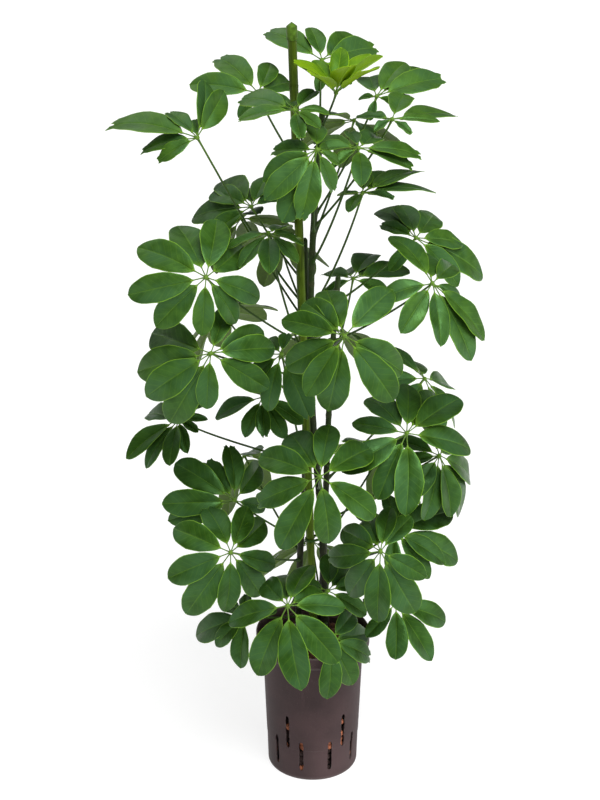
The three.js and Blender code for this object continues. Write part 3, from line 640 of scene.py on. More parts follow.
def blade_veins(finish, along, across):
    """Masks of a blade: nearness to the midrib, to the side veins and to the margin."""
    out = abs(across - 0.5) * 2
    midrib = 1 - finish.ease(out, 0.015, 0.06)
    rung = (along * 9 - out * 1.9 + finish.noise(40) * 0.5).fraction()
    veins = (1 - finish.ease(abs(rung - 0.5), 0, 0.1)) * (1 - finish.ease(out, 0.75, 0.95))
    rim = finish.ease(out, 0.93, 0.99)
    tip = finish.ease(along, 0.985, 0.999)
    return midrib, veins, rim.maths("MAXIMUM", rim, tip)


def leaf_top(young=False):
    """The glossy upper face of a leaflet: mottled green, with a paler midrib, side veins and margin. Soft
    bluish spots are painted sheen. Grown blades are darker the lower their hub, partly with age and partly
    as painted shade. The young whorl's back blades are darker as painted shade.
    """
    looks = settings().leaves
    finish = Finish("young_leaf_top" if young else "leaf_top", looks.young if young else looks.dark)
    along, across = finish.surface()
    tone = finish.tone()
    midrib, veins, margin = blade_veins(finish, along, across)
    mottle = finish.spots(70, 3, 0.34, 0.66)
    if young:
        pale = scaled(looks.young, 1.4)
        # Painted shade: the young whorl's blades are laid darker the nearer they point to its back.
        finish.lay(mottle * 0.15 + tone * 0.85, scaled(looks.young, 0.17, 0.3, 1))
    else:
        pale = looks.margin
        painted_sheen_blue = scaled(looks.green, 1.1, 1.06, 3.4)
        # The tone rises with the hub's height, so the low blades stay dark and the top ones turn fresh
        # green. This is partly age, partly painted shade below and painted light above.
        finish.lay(finish.ease(mottle * 0.42 + tone * 0.85, 0, 1.16), looks.green)
        finish.lay(finish.ease(tone + mottle * 0.15, 0.7, 1.1) * 0.75, looks.fresh)
        # Painted sheen: soft bluish spots stand in for the gloss of the light from above.
        finish.lay(finish.spots(28, 2, 0.4, 0.68) * 0.6, painted_sheen_blue)
    finish.lay((1 - finish.ease(along, 0, 0.16)) * 0.35, pale)
    finish.lay(veins * 0.09, pale)
    finish.lay(midrib * 0.2, pale)
    finish.lay(margin * 0.85, pale)
    height = veins * 0.35 - midrib * 0.8 + finish.noise(600, 3) * 0.6
    return finish.close(finish.spots(55, 3, 0.35, 0.65) * 0.2 + 0.32, (height, 0.6, 0.0003),
                        Specular_IOR_Level=0.3 if young else 0.55, Specular_Tint=(0.42, 0.95, 0.32))


def leaf_underside(young=False):
    """The paler, duller lower face of a leaflet, with raised veins. On the young whorl it takes the bright
    young green of the top, as painted light on the front blades' undersides, which face away from the light
    above. Its back blades are laid darker as painted shade.
    """
    looks = settings().leaves
    # A young blade's underside is painted in the bright young green: painted light on the front blades'
    # undersides.
    pale = looks.young if young else looks.underside
    finish = Finish("young_leaf_underside" if young else "leaf_underside", pale)
    midrib, veins, margin = blade_veins(finish, *finish.surface())
    # Darker where the tone is high. On the young whorl this is painted shade on its back blades. On grown
    # blades it is darker the higher the hub.
    finish.lay(finish.noise(60, 3) * 0.5 + finish.tone() * 0.45, scaled(pale, 0.55))
    finish.lay(veins * 0.22 + midrib * 0.5, looks.margin)
    finish.lay(margin * 0.7, looks.margin)
    height = veins * 0.6 + midrib + finish.noise(900) * 0.2
    return finish.close(finish.noise(120) * 0.12 + 0.48, (height, 0.6, 0.0003), Specular_IOR_Level=0.25)


def leaf_stalk():
    """The stalks: dark at the petiole's foot, pale green at the hub, lime where a blade begins."""
    looks = settings().leaves
    finish = Finish("leaf_stalk", looks.petiole)
    along, part = finish.surface()
    finish.lay(finish.ease(along, 0.72, 1) * 0.8, looks.stalk)
    leaflet = finish.blend(finish.ease(along, 0.6, 1), looks.stalk, looks.margin)
    finish.lay(finish.ease(part, 0.4, 0.6), leaflet)
    finish.lay(finish.spots(700, 3, 0.35, 0.7) * 0.3, looks.petiole)
    relief = (finish.noise(1500, 3), 0.3, 0.0002)
    return finish.close(finish.noise(200) * 0.2 + 0.38, relief, Specular_IOR_Level=0.25)


def bark():
    """A stem's bark: green and smooth near the tip, brown and ringed with leaf scars below."""
    looks = settings().stems
    finish = Finish("bark", looks.old)
    patches = finish.noise(90, 4, 0.35)
    finish.lay(finish.ease(finish.surface()[0] + patches * 0.5, 0.45, 1.2), looks.young)
    pores = finish.spots(650, 2, 0.6, 0.72, 0.6)
    finish.lay(pores * 0.4, PORE_BROWN)
    finish.lay(finish.tone() * 0.5, SCAR_BROWN)
    height = patches * 0.7 + pores * 0.6 + finish.noise(1400, 3, 0.3) * 0.5
    return finish.close(patches * 0.25 + 0.5, (height, 0.7, 0.0006), Specular_IOR_Level=0.25)


def pot_plastic():
    """Recycled plastic: matt, a little mottled, with fine scuffs and dust, and paler worn edges."""
    plastic = settings().pot.plastic
    finish = Finish("pot_plastic", scaled(plastic, 0.68))
    pale = [part + 0.01 for part in scaled(plastic, 1.55)]
    cloud = finish.noise(22, 4)
    speck = finish.spots(1500, 2, 0.66, 0.76)
    scuff = finish.spots(160, 5, 0.6, 0.78, 0.12)
    finish.lay(finish.ease(cloud, 0.3, 0.72), plastic)
    finish.lay(finish.spots(9, 2, 0.45, 0.75) * 0.35, pale)
    finish.lay(speck * 0.35, POT_DUST)
    finish.lay(scuff * 0.28, pale)
    finish.lay(finish.tone() * 0.55, WORN_PLASTIC)
    height = finish.noise(420, 3) * 0.5 + speck * 0.4 + scuff * 0.3
    return finish.close(0.52 + cloud * 0.2 + scuff * 0.1, (height, 0.35, 0.0004), Specular_IOR_Level=0.22)


def clay():
    """Fired clay pebbles: each its own brown or orange, pitted with small pores, damp in places."""
    looks = settings().pebbles
    finish = Finish("clay", looks.damp)
    pores = finish.spots(1300, 2, 0.6, 0.68)
    finish.lay(finish.tone(), looks.dry)
    finish.lay(finish.spots(260, 4, 0.4, 0.7) * 0.5, looks.damp)
    finish.lay(pores * 0.7, CLAY_PORE)
    finish.lay(finish.spots(480, 3, 0.58, 0.75) * 0.3, CLAY_DUST)
    return finish.close(0.72 + finish.noise(90) * 0.22, (finish.noise(500, 4) - pores * 0.8, 0.8, 0.0008))


def coating(name, shade, squeeze=1):
    """Green plastic with faint streaks, long ones where squeeze is below 1, worn paler here and there."""
    dark = scaled(shade, 0.5)
    finish = Finish(name, dark)
    streak = finish.noise(230, 4, squeeze)
    finish.lay(finish.ease(streak, 0.35, 0.65), shade)
    finish.lay(finish.spots(60, 3, 0.52, 0.74) * 0.3, scaled(shade, 1.6))
    finish.lay(finish.tone() * 0.55, dark)
    relief = (streak + finish.noise(1500) * 0.3, 0.35, 0.0004)
    return finish.close(0.34 + finish.noise(75, 3) * 0.2, relief, Specular_IOR_Level=0.22,
                        Specular_Tint=(0.6, 1, 0.4))


def floor_paint():
    """The stage's plain pale floor."""
    looks = settings().stage
    finish = Finish("floor_paint", looks.floor)
    finish.lay(finish.noise(2), scaled(looks.floor, 0.985))
    return finish.close(0.85, Specular_IOR_Level=0.1, Emission_Color=(1, 1, 1),
                        Emission_Strength=looks.floor_glow)


# ---- The pot and its filling ----

def slot_turn(sector):
    """The angle of the middle of a sector, from the X axis."""
    return math.radians(SLOT_PHASE) - math.pi / 2 + sector * 2 * math.pi / SECTORS


def slot_span(sector):
    """The heights of the ends of a sector's slot, or None."""
    if sector % 2:
        return LOW_SLOT_SPAN
    return HIGH_SLOT_SPAN if sector % 4 == 2 else None


def slot_half(sector, height, width):
    """Half of a slot's width at a height: rounded at its ends, with slightly ragged sides."""
    span = slot_span(sector)
    if span is None:
        return width / 4
    inside = min(height - span[0], span[1] - height)
    end = math.sqrt(max(0.08, min(1, (inside + 0.15) / (width / 2))))
    return width / 2 * end * between(sector * 31 + height, 0.92, 1.18)


def pot_section(looks):
    """The pot's outline as points of radius, height and wear: the outer side from the underside's middle
    up to the rim, then the inner side down to the floor's middle. Also how many rows the slots may cut, and
    where these begin in the outer and in the inner side."""
    sizes = (looks.height, looks.rim_radius, looks.neck_radius, looks.foot_radius, looks.wall, looks.floor)
    height, rim, neck, foot, wall, floor = (size / MM for size in sizes)
    band = height - RIM_BAND_HEIGHT
    step_radius = foot + (neck - foot) * STEP_HEIGHT / band

    def radius(place):
        if place < STEP_HEIGHT:
            return foot + (step_radius - 0.5 - foot) * place / STEP_HEIGHT
        return step_radius + (neck - step_radius) * (place - STEP_HEIGHT) / (band - STEP_HEIGHT)

    ends = [height for span in (LOW_SLOT_SPAN, HIGH_SLOT_SPAN) for height in span]
    rows = {end + way * near for end in ends for near in (0, 0.5, 1.4) for way in (-1, 1)}
    rows |= {5, 9, *np.arange(17, 44, 2.7), STEP_HEIGHT - 0.25, *np.arange(50, 57, 2.4),
             *np.arange(62, 94, 2.9)}
    rows = sorted(row for row in rows if 4 < row < 99)
    outer = [(0, 1.0, 0), (foot * 0.55, 1.0, 0), (foot * 0.8, 1.0, 0), (foot * 0.83, 0.0, 0.4),
             (foot - 1.1, 0, 0.6), (foot - 0.3, 0.35, 1), (radius(1.1), 1.1, 0.5)]
    first = len(outer)
    outer += [(radius(row), row, 0.5 if abs(row - STEP_HEIGHT) < 0.3 else 0) for row in rows]
    outer += [(radius(row), row, 0) for row in (110, 130, 150, 165, band - 1.6)]
    outer += [(neck + 0.5, band - 0.5, 0.1), (neck + 1.6, band, 0), (rim - 1.2, band, 0.3),
              (rim - 0.3, band + 0.35, 0.9), (rim, band + 1.3, 0.4), (rim, band + 4, 0),
              (rim, height - 3, 0), (rim, height - 1.2, 0.4), (rim - 0.3, height - 0.3, 1),
              (rim - 0.8, height, 1), (rim - wall + 0.3, height, 1), (rim - wall, height - 0.4, 0.7)]
    ledge = band + wall
    inner = [(rim - wall, band + 6, 0), (rim - wall - 0.2, ledge + 1, 0), (rim - wall - 1.2, ledge, 0),
             (neck - wall + 0.8, ledge, 0.1), (neck - wall, ledge - 0.8, 0)]
    inner += [(radius(row) - wall, row, 0) for row in (165, 150, 130, 110)]
    last = len(outer) + len(inner)
    inner += [(radius(row) - wall, row, 0) for row in reversed(rows)]
    inner += [(foot - wall, floor + 0.6, 0), (foot - wall - 0.6, floor, 0), (foot * 0.6, floor, 0),
              (0, floor, 0)]
    return np.array(outer + inner), len(rows), first, last


def make_pot(looks):
    """The growing pot: a lathed wall with slots cut through it and their sides closed."""
    section, rows, first, last = pot_section(looks)
    width = looks.slot_width / MM
    shares = (0.035, 0.2, 0.4, 0.6, 0.8, 0.965)  # the columns of the wall between two slots
    parts = 2 + len(shares)
    columns = SECTORS * parts

    def turns(sector, radius, height):
        """The angles of a sector's columns: its slot's two sides, then the wall up to the next slot."""
        half, next_half = (slot_half(near % SECTORS, height, width) / max(radius, 40)
                           for near in (sector, sector + 1))
        start = slot_turn(sector) + half
        wall = 2 * math.pi / SECTORS - half - next_half
        return [start - 2 * half, start, *(start + wall * share for share in shares)]

    places, tones = [], []
    for radius, height, wear in section:
        radius = max(radius, CLOSED)
        for sector in range(SECTORS):
            cut = slot_half(sector, height, width) > width / 3
            for column, turn in enumerate(turns(sector, radius, height)):
                places.append((radius * math.cos(turn), radius * math.sin(turn), height))
                worn = chance(sector * 7 + column + height) ** 2 if cut and column < 2 else 0
                tones.append(max(wear, worn))

    def is_open(row, sector):
        """Whether a slot takes the wall from a row to the next."""
        span = slot_span(sector)
        low, high = section[row][1], section[row + 1][1]
        return span is not None and low >= span[0] - 1e-6 and high <= span[1] + 1e-6

    faces = []

    def add_face(*corners):
        """Adds a face between corners that are each a row and a column."""
        faces.append(tuple(row * columns + column for row, column in corners))

    mirror = {first + row: last + rows - 1 - row for row in range(rows)}
    open_cells = {(row, sector * parts) for row in range(first, first + rows - 1)
                  for sector in range(SECTORS) if is_open(row, sector)}
    gaps = open_cells | {(mirror[row + 1], column) for row, column in open_cells}
    for row in range(len(section) - 1):
        for column in range(columns):
            after = (column + 1) % columns
            if (row, column) not in gaps:
                add_face((row, column), (row, after), (row + 1, after), (row + 1, column))
    for row, column in open_cells:
        after = column + 1
        for side in (column, after):
            add_face((row, side), (row + 1, side), (mirror[row + 1], side), (mirror[row], side))
        for level, beyond in ((row, row - 1), (row + 1, row + 1)):
            if (beyond, column) not in open_cells:
                inside = mirror[level]
                add_face((level, column), (level, after), (inside, after), (inside, column))
    for row in (0, len(section) - 1):
        add_face(*((row, column) for column in range(columns)))
    piece = Piece("growing_pot_shell")
    piece.add(places, faces, tone=tones)
    sharpen(piece.make([pot_plastic()], "growing_pot"), POT_EDGE)


def sharpen(made, degrees):
    """Marks the edges that turn by more than an angle as sharp, so that flat faces stay flat."""
    shell = bmesh.new()
    shell.from_mesh(made.data)
    for edge in shell.edges:
        edge.smooth = len(edge.link_faces) != 2 or edge.calc_face_angle(0) < math.radians(degrees)
    shell.to_mesh(made.data)
    shell.free()


def pebble_shape():
    """The places and faces of a round body of 162 places."""
    ball = bmesh.new()
    bmesh.ops.create_icosphere(ball, subdivisions=3, radius=1)
    places = np.array([vertex.co[:] for vertex in ball.verts])
    faces = [tuple(vertex.index for vertex in face.verts) for face in ball.faces]
    ball.free()
    return places, faces


def add_pebble(piece, shape, place, radius, seed, tone):
    """Adds one pebble: a squashed, lumpy ball, turned at random."""
    ball, faces = shape
    lumps = np.array([noise.noise(Vector(spot) * 1.2 + Vector((seed, 0, 0))) for spot in ball])
    fine = np.array([noise.noise(Vector(spot) * 3.1 + Vector((0, seed, 0))) for spot in ball])
    sizes = [between(seed + 0.1, 0.92, 1.08), between(seed + 0.2, 0.85, 1), between(seed + 0.3, 0.74, 0.95)]
    body = ball * (1 + 0.22 * lumps + 0.07 * fine)[:, None] * sizes
    turn, roll = (between(seed + own, 0, 6.28) for own in (0.4, 0.5))
    spin = np.array(Matrix.Rotation(turn, 3, "Z") @ Matrix.Rotation(roll, 3, "X"))
    piece.add(np.asarray(place) + radius * body @ spin.T, faces, tone=tone)


def around(away, turn, height):
    """The place at a distance and an angle about the Z axis."""
    return away * math.cos(turn), away * math.sin(turn), height


def make_pebbles(looks, pot):
    """The filling: a dark core, a loose top layer of pebbles, and pebbles that show behind the slots."""
    piece = Piece("clay_pebbles_loose")
    shape = pebble_shape()
    foot, neck = (pot.foot_radius - pot.wall) / MM, (pot.neck_radius - pot.wall) / MM
    rise = (neck - foot) / (pot.height / MM - RIM_BAND_HEIGHT)
    level, base = looks.level / MM, pot.floor / MM + 0.4
    low, high = looks.smallest / MM, looks.largest / MM
    core = [(CLOSED, base), (foot - 11, base), (neck - 10, level - 9), (CLOSED, level - 6)]
    piece.add_loops(lathe(core, 48), tone=0.02)
    golden = math.pi * (3 - math.sqrt(5))
    for index in range(looks.count):
        away = (neck - high - 0.5) * math.sqrt((index + 0.5) / looks.count)
        turn = golden * index + between(index + 900, -0.12, 0.12)
        place = around(away, turn, level + between(index + 700, -5, 2.5))
        tone = between(index + 300, 0.03, 0.3) ** 1.2
        add_pebble(piece, shape, place, between(index + 500, low, high), index, tone)
    for sector in range(SECTORS):
        start, end = slot_span(sector) or (0, 0)
        height, step = start - 2, 0
        while end and height < end + 3:
            seed = 2000 + sector * 40 + step
            radius = between(seed, low, high * 0.9)
            bright = chance(seed + 0.9) > 0.62
            away = foot + rise * height - radius * 1.08 - (0.4 if bright else 2.6)
            place = around(away, slot_turn(sector) + between(seed + 0.7, -0.055, 0.055), height)
            add_pebble(piece, shape, place, radius, seed, between(seed + 0.8, 0.6, 1) if bright else 0)
            height += radius * 1.55
            step += 1
    piece.make([clay()], "clay_pebbles")


# ---- The stake, its cap and the ties ----

def make_stake(looks):
    """The stake: a long coated cane, with a faint ring at each joint of the cane inside."""
    heights = set(np.linspace(STAKE_FOOT[2], STAKE_TOP[2], 40))
    heights |= {joint + near for joint in STAKE_JOINTS for near in (-6, -3, -1.4, -0.5, 0.3, 1.4, 3, 6)}
    heights = np.array(sorted(height for height in heights if height <= STAKE_TOP[2]))
    radii = np.full(len(heights), looks.radius / MM - 0.15)
    tones = np.zeros(len(heights))
    for joint in STAKE_JOINTS:
        groove = joint + 1.1
        radii += 0.35 * swell(heights, joint, 2.4) - 0.3 * swell(heights, groove, 0.6)
        tones = np.maximum(tones, swell(heights, groove, 1))
    piece = Piece("stake_cane")
    piece.add_loops(tube([stake_at(height) for height in heights], radii, 28), tone=tones)
    sharpen(piece.make([coating("stake_coating", looks.coating, 0.08)], "stake"), STAKE_EDGE)


def leaning_with_stake(places):
    """Places about the Z axis, turned so that they stand along the stake."""
    way = unit(STAKE_TOP - STAKE_FOOT)
    side = unit(np.cross((0, 1, 0), way))
    return places @ np.array([side, np.cross(way, side), way])


def make_cap(looks):
    """The cap pushed over the stake's top: a straight skirt, a bevelled shoulder and a pointed top."""
    radius, skirt, height = looks.cap_radius / MM, looks.cap_skirt / MM, looks.cap_height / MM
    bore = looks.radius / MM + 0.25
    profile = rounded([(CLOSED, skirt + 0.3), (bore, skirt + 0.3), (bore, 0), (radius, 0), (radius, skirt),
                       (radius - 0.5, skirt + 0.6), (CLOSED, height)], 0.45)
    piece = Piece("stake_cap_shell")
    loops = leaning_with_stake(lathe(profile, 36)) + stake_at(STAKE_TOP[2] - skirt)
    piece.add_loops(loops, tone=0)
    sharpen(piece.make([coating("cap_plastic", looks.cap)], "stake_cap"), STAKE_EDGE)


def make_tie(index, height, looks):
    """A soft band drawn round the stake and the main stem."""
    stake, stem = stake_at(height)[:2], on_stem(STEMS["main"], height)[0, :2]
    rounds = ((stake, looks.radius / MM + TIE_AWAY), (stem, STEMS["main"].radius + TIE_AWAY))
    section = circle(10) * (0.55, 1.9)
    loops = []
    for way in circle(48):
        spot = max((centre + radius * way for centre, radius in rounds), key=lambda spot: spot @ way)
        loops.append([(*(spot + way * thick), height + tall) for thick, tall in section])
    node = f"plant_tie_{index + 1}"
    piece = Piece(f"{node}_band")
    piece.add_loops(np.array(loops), tone=0, ends="join")
    piece.make([coating(f"tie_{index + 1}_plastic", looks.tie)], node)


# ---- The stems and leaves ----

def make_stem(name, stem):
    """A stem: tapering, slightly knotted, with a ring at each leaf scar and a bud at its tip."""
    low, high = stem.line[0][2], stem.line[-1][2]
    heights = np.linspace(low, high, 150)
    share = (heights - low) / (high - low)
    radii = stem.radius * (1.04 - 0.24 * share)
    tones = np.zeros(len(heights))
    scar = low + 70
    while scar < high - 8:
        radii += 0.42 * swell(heights, scar, 2.6)
        tones = np.maximum(tones, 0.9 * swell(heights, scar + 1, 1.6))
        scar += between(scar + stem.radius, 17, 30)
    line = on_stem(stem, heights)
    sides = 20
    loops = tube(line, radii, sides)
    ripple = 1 + 0.035 * np.sin(np.linspace(0, 6 * np.pi, sides, endpoint=False))
    loops = line[:, None] + (loops - line[:, None]) * ripple[None, :, None]
    tip = line[-1] + np.outer(np.linspace(0.4, 3.6, 5), (0, 0, 1))
    piece = Piece(f"stem_{name}_bark")
    piece.add_loops(loops, tone=tones)
    bud = radii[-1] * np.array([0.95, 0.86, 0.68, 0.42, 0.1])
    piece.add_loops(tube(tip, bud, sides), tone=0, uv=(1, 0.5))
    piece.make([bark()], f"stem_{name}")


# Where a blade has its places, as shares of its half width and of its length
SIDE = np.array([0, 0.035, 0.09, 0.22, 0.45, 0.7, 0.9, 0.975, 1])
ACROSS = np.concatenate([-SIDE[:0:-1], SIDE])
ALONG = np.array([0, 0.02, 0.06, 0.12, 0.2, 0.29, 0.38, 0.47, 0.56, 0.65, 0.74, 0.82, 0.88, 0.925, 0.958,
                  0.982, 0.995, 1])

TOP, UNDERSIDE, STALK = 0, 1, 2


class Leaflet:
    """One leaflet's own frame and size: where it starts, the way it points and its top and side."""

    def __init__(self, hub, face, clock, lean, reach, roll, looks, seed, young):
        out, right, up = face
        angle, lean = math.radians(clock), math.radians(lean)
        self.hub, self.seed = hub, seed
        self.along = (up * math.cos(angle) + right * math.sin(angle)) * math.cos(lean) - out * math.sin(lean)
        flat, roll = unit(out - self.along * np.dot(out, self.along)), math.radians(roll)
        self.top = flat * math.cos(roll) + np.cross(self.along, flat) * math.sin(roll)
        self.side = np.cross(self.along, self.top)
        self.stalk = looks.leaflet_stalk / MM * reach / FULL_REACH
        self.blade = (reach - self.stalk) * looks.blade_share
        self.young = young
        self.half = looks.leaflet_width / MM / 2 * self.blade / FULL_BLADE
        # A blade's tone, which its finishes turn into colour. Grown blades: higher with the hub's height, so
        # low blades are darker, partly with age and partly as painted shade. Young blades: higher towards
        # the back of the whorl (clock near 0), as painted shade on its back blades.
        tone = chance(seed + 0.37)
        if young:
            self.tone = 0.25 * tone + 0.75 * (0.5 + 0.5 * math.cos(angle))
        else:
            self.tone = min(0.75 * hub[2] * MM + 0.26 * tone, 1)

    def place(self, along, across, lift):
        """Places from distances along, across and above the leaflet's line."""
        return (self.hub + np.multiply.outer(along, self.along) + np.multiply.outer(across, self.side)
                + np.multiply.outer(lift, self.top))

    def vary(self, number, low, high):
        """One of the leaflet's own numbers, from low to high."""
        return between(self.seed * 7.31 + number, low, high)


def blade_outline(leaflet, notched):
    """Half widths at ALONG, and how far each of ACROSS falls short of the tip, as shares."""
    widest = leaflet.vary(1, 0.52, 0.64)
    to_base = np.pi / 2 * np.clip(ALONG / widest, 0, 1)
    to_tip = np.pi / 2 * np.clip((ALONG - widest) / (1 - widest), 0, 1)
    width = np.sin(to_base) ** 0.66 * np.cos(to_tip) ** leaflet.vary(3, 0.38, 0.54)
    blunt = 0.1
    if leaflet.young:
        width = width**0.8
        shortfall = 0.03 * ACROSS**2 + 0.02 * swell(ACROSS, 0, 0.3)
    elif notched:
        blunt = leaflet.vary(2, 0.42, 0.62)
        shortfall = (0.05 * ACROSS**2 + leaflet.vary(4, 0.03, 0.075) * swell(ACROSS, 0, 0.3)
                     + 0.02 * np.sin(9 * ACROSS + leaflet.seed))
    else:
        shortfall = 0.016 * np.abs(ACROSS) ** 1.6 - leaflet.vary(17, -0.012, 0.006) * swell(ACROSS, 0, 0.22)
    return np.maximum(np.maximum(width, blunt * smooth_step(ALONG, 0.5, 0.9)), 0.05), shortfall


def blade_lift(leaflet, looks, share, across):
    """How far the top of a blade lies above the leaflet's line, at a share of its length and a distance
    across."""
    out = np.abs(ACROSS)
    body = np.sin(np.pi * np.clip(share, 0, 1)) ** 0.5
    # the fold along the midrib, the bulge of each half, the midrib's groove and the rolled margin
    fold = looks.fold / MM * leaflet.vary(6, 0.5, 1.5)
    lift = fold * (out**1.25 - 0.6) * body + 0.8 * np.sin(np.pi * out) * body
    lift = lift - 0.55 * swell(out, 0, 0.045) * (1 - 0.6 * share) - 0.5 * smooth_step(out, 0.86, 1) * body
    # the waves of the two margins
    waves = leaflet.vary(7, 1.1, 2.2)
    for side, number in ((-1, 8), (1, 9)):
        wave = np.sin(2 * np.pi * (waves * share + leaflet.vary(number, 0, 1)))
        lift = lift + leaflet.vary(number + 2, 0.3, 1.25) * wave * body * out**2 * (np.sign(ACROSS) == side)
    # the arch from base to tip, the tip's own bend, and the twist
    arch = looks.arch * leaflet.vary(12, 0.7, 1.25)
    bend = 0.035 * np.sin(np.pi * share) - arch * share**2 - leaflet.vary(13, 0, 0.05) * share**5
    twist = math.radians(leaflet.vary(14, -16, 16))
    return lift + leaflet.blade * bend + across * math.sin(twist) * share


def add_blade(piece, leaflet, looks, notched):
    """Adds a leaflet's blade: a thin closed skin, folded along its midrib, bulging between its veins,
    waved at its margins and bent back towards its tip."""
    width, shortfall = blade_outline(leaflet, notched)
    share = ALONG[:, None] * (1 - shortfall * smooth_step(ALONG, 0.55, 1)[:, None])
    widest = width * leaflet.half * leaflet.vary(5, 0.94, 1.08)
    edge = 0.022 * np.sin(2 * np.pi * (leaflet.vary(18, 2.5, 4) * ALONG + leaflet.vary(19, 0, 1)))
    across = widest[:, None] * ACROSS * (1 + edge[:, None] * np.sign(ACROSS))
    lift = blade_lift(leaflet, looks, share, across)
    across = across + leaflet.vary(15, -0.055, 0.055) * leaflet.blade * share**2
    along = leaflet.stalk + leaflet.blade * share
    rib = 0.95 * swell(np.abs(ACROSS), 0, 0.06) * (1 - 0.75 * share)
    thickness = looks.thickness / MM * (1 - 0.35 * np.abs(ACROSS)) + rib
    top = leaflet.place(along, across, lift)
    under = leaflet.place(along, across, lift - thickness)
    uv_across = np.concatenate([ACROSS, ACROSS[::-1]]) / 2 + 0.5
    uv = np.stack([np.repeat(ALONG, len(uv_across)), np.tile(uv_across, len(ALONG))], axis=-1)
    finish = [TOP] * len(ACROSS) + [UNDERSIDE] * len(ACROSS)
    piece.add_loops(np.concatenate([top, under[:, ::-1]], axis=1), finish, uv, leaflet.tone, ends="zip")


def add_stalk(piece, line, radii, sides, share, part, tone):
    """Adds a round stalk. share says how far along each of its places is, and part is 0 for the petiole and
    1 for a leaflet's stalk."""
    uv = np.column_stack([np.repeat(share, sides), np.full(len(share) * sides, part)])
    piece.add_loops(tube(line, radii, sides), STALK, uv, tone)


def add_leaflet_stalk(piece, leaflet):
    """Adds a leaflet's stalk: swollen at the hub and again where the blade begins."""
    share = np.linspace(0, 1, 9)
    reach = leaflet.stalk + leaflet.blade * 0.035
    sag = leaflet.vary(16, -0.7, 0.5) * np.sin(np.pi * share)
    line = leaflet.place(1 + (reach - 1) * share, 0 * share, sag - 0.55)
    radii = 0.72 + 0.5 * swell(share, 0, 0.16) + 0.8 * swell(share, 0.92, 0.1)
    add_stalk(piece, line, radii, 8, share, 1, leaflet.tone)


def add_hub(piece, hub, face):
    """Adds the round swelling where the leaflets' stalks meet."""
    out, right, up = face
    ring = circle(14) @ np.array([right, up])
    profile = ((1.6, -3.2), (2.3, -2.6), (2.8, -1.4), (2.7, 0), (2.1, 1.1), (1.2, 1.75), (0.1, 2))
    loops = np.array([hub + out * height + radius * ring for radius, height in profile])
    piece.add_loops(loops, STALK, (0.75, 1), 0.5)


def add_petiole(piece, foot, hub, level, out, radius):
    """Adds the long stalk from the stem to the hub, clasping the stem with a swollen foot."""
    chord = hub - foot
    span = np.linalg.norm(chord)
    line = bezier(foot, foot + chord * 0.25 + level * span * 0.06,
                  hub - chord * 0.15 - out * span * 0.1, hub - out * 1.5, 34)
    along = np.concatenate([[0], np.cumsum(np.linalg.norm(np.diff(line, axis=0), axis=1))])
    share = along / along[-1]
    radii = radius * (1 - 0.16 * share) + 1.7 * swell(along, 0, 8) + 0.55 * swell(along, along[-1], 5)
    add_stalk(piece, line, radii, 10, share, 0, 0.5)


def face_of(leaf):
    """Where a leaf looks, and the right and up of its face."""
    turn, tilt = math.radians(leaf.turn), math.radians(leaf.tilt)
    out = np.array([math.sin(turn) * math.cos(tilt), -math.cos(turn) * math.cos(tilt), math.sin(tilt)])
    right = np.array([math.cos(turn), math.sin(turn), 0])
    return out, right, np.cross(out, right)


def leaflet_spots(leaf, index):
    """Each leaflet's clock, share of the reach and turn about its own length, in order round the hub."""
    clocks = leaf.clocks
    if clocks is BACK_CLOCKS:
        clocks = [clock + 10 * chance(index * 10 + i) for i, clock in enumerate(clocks)]
    return sorted((*clock, 0)[:3] if isinstance(clock, tuple) else (clock, 1, 0) for clock in clocks)


def make_leaf(leaf, index, looks, finishes):
    """A compound leaf: its petiole, hub, leaflets' stalks and blades."""
    node = f"leaf_{leaf.name}"
    piece = Piece(f"{node}_blades")
    face = out, right, up = face_of(leaf)
    hub, foot = np.array(leaf.hub, float), on_stem(STEMS[leaf.stem], leaf.foot)[0]
    level = unit((hub - foot) * (1, 1, 0))
    away = math.atan2(level @ right, level @ up)
    spots = leaflet_spots(leaf, index)
    for i, (clock, share, roll) in enumerate(spots):
        reach = leaf.reach * share * (1 + 0.1 * math.cos(math.radians(clock) - away))
        layer = 3 if len(spots) % 2 and i == len(spots) - 1 else 2 * (i % 2) - 1
        lean = leaf.droop + 4 * layer
        leaflet = Leaflet(hub, face, clock, lean, reach, roll, looks, index * 20 + i, leaf.young)
        notched = chance(index * 31 + i * 3.7) < (0.45 if leaf.hub[2] > CROWN_HEIGHT else 0.12)
        add_blade(piece, leaflet, looks, notched)
        add_leaflet_stalk(piece, leaflet)
    add_hub(piece, hub, face)
    add_petiole(piece, foot, hub, level, out, looks.petiole_radius / MM)
    piece.make(finishes, node)


# ---- Operators ----

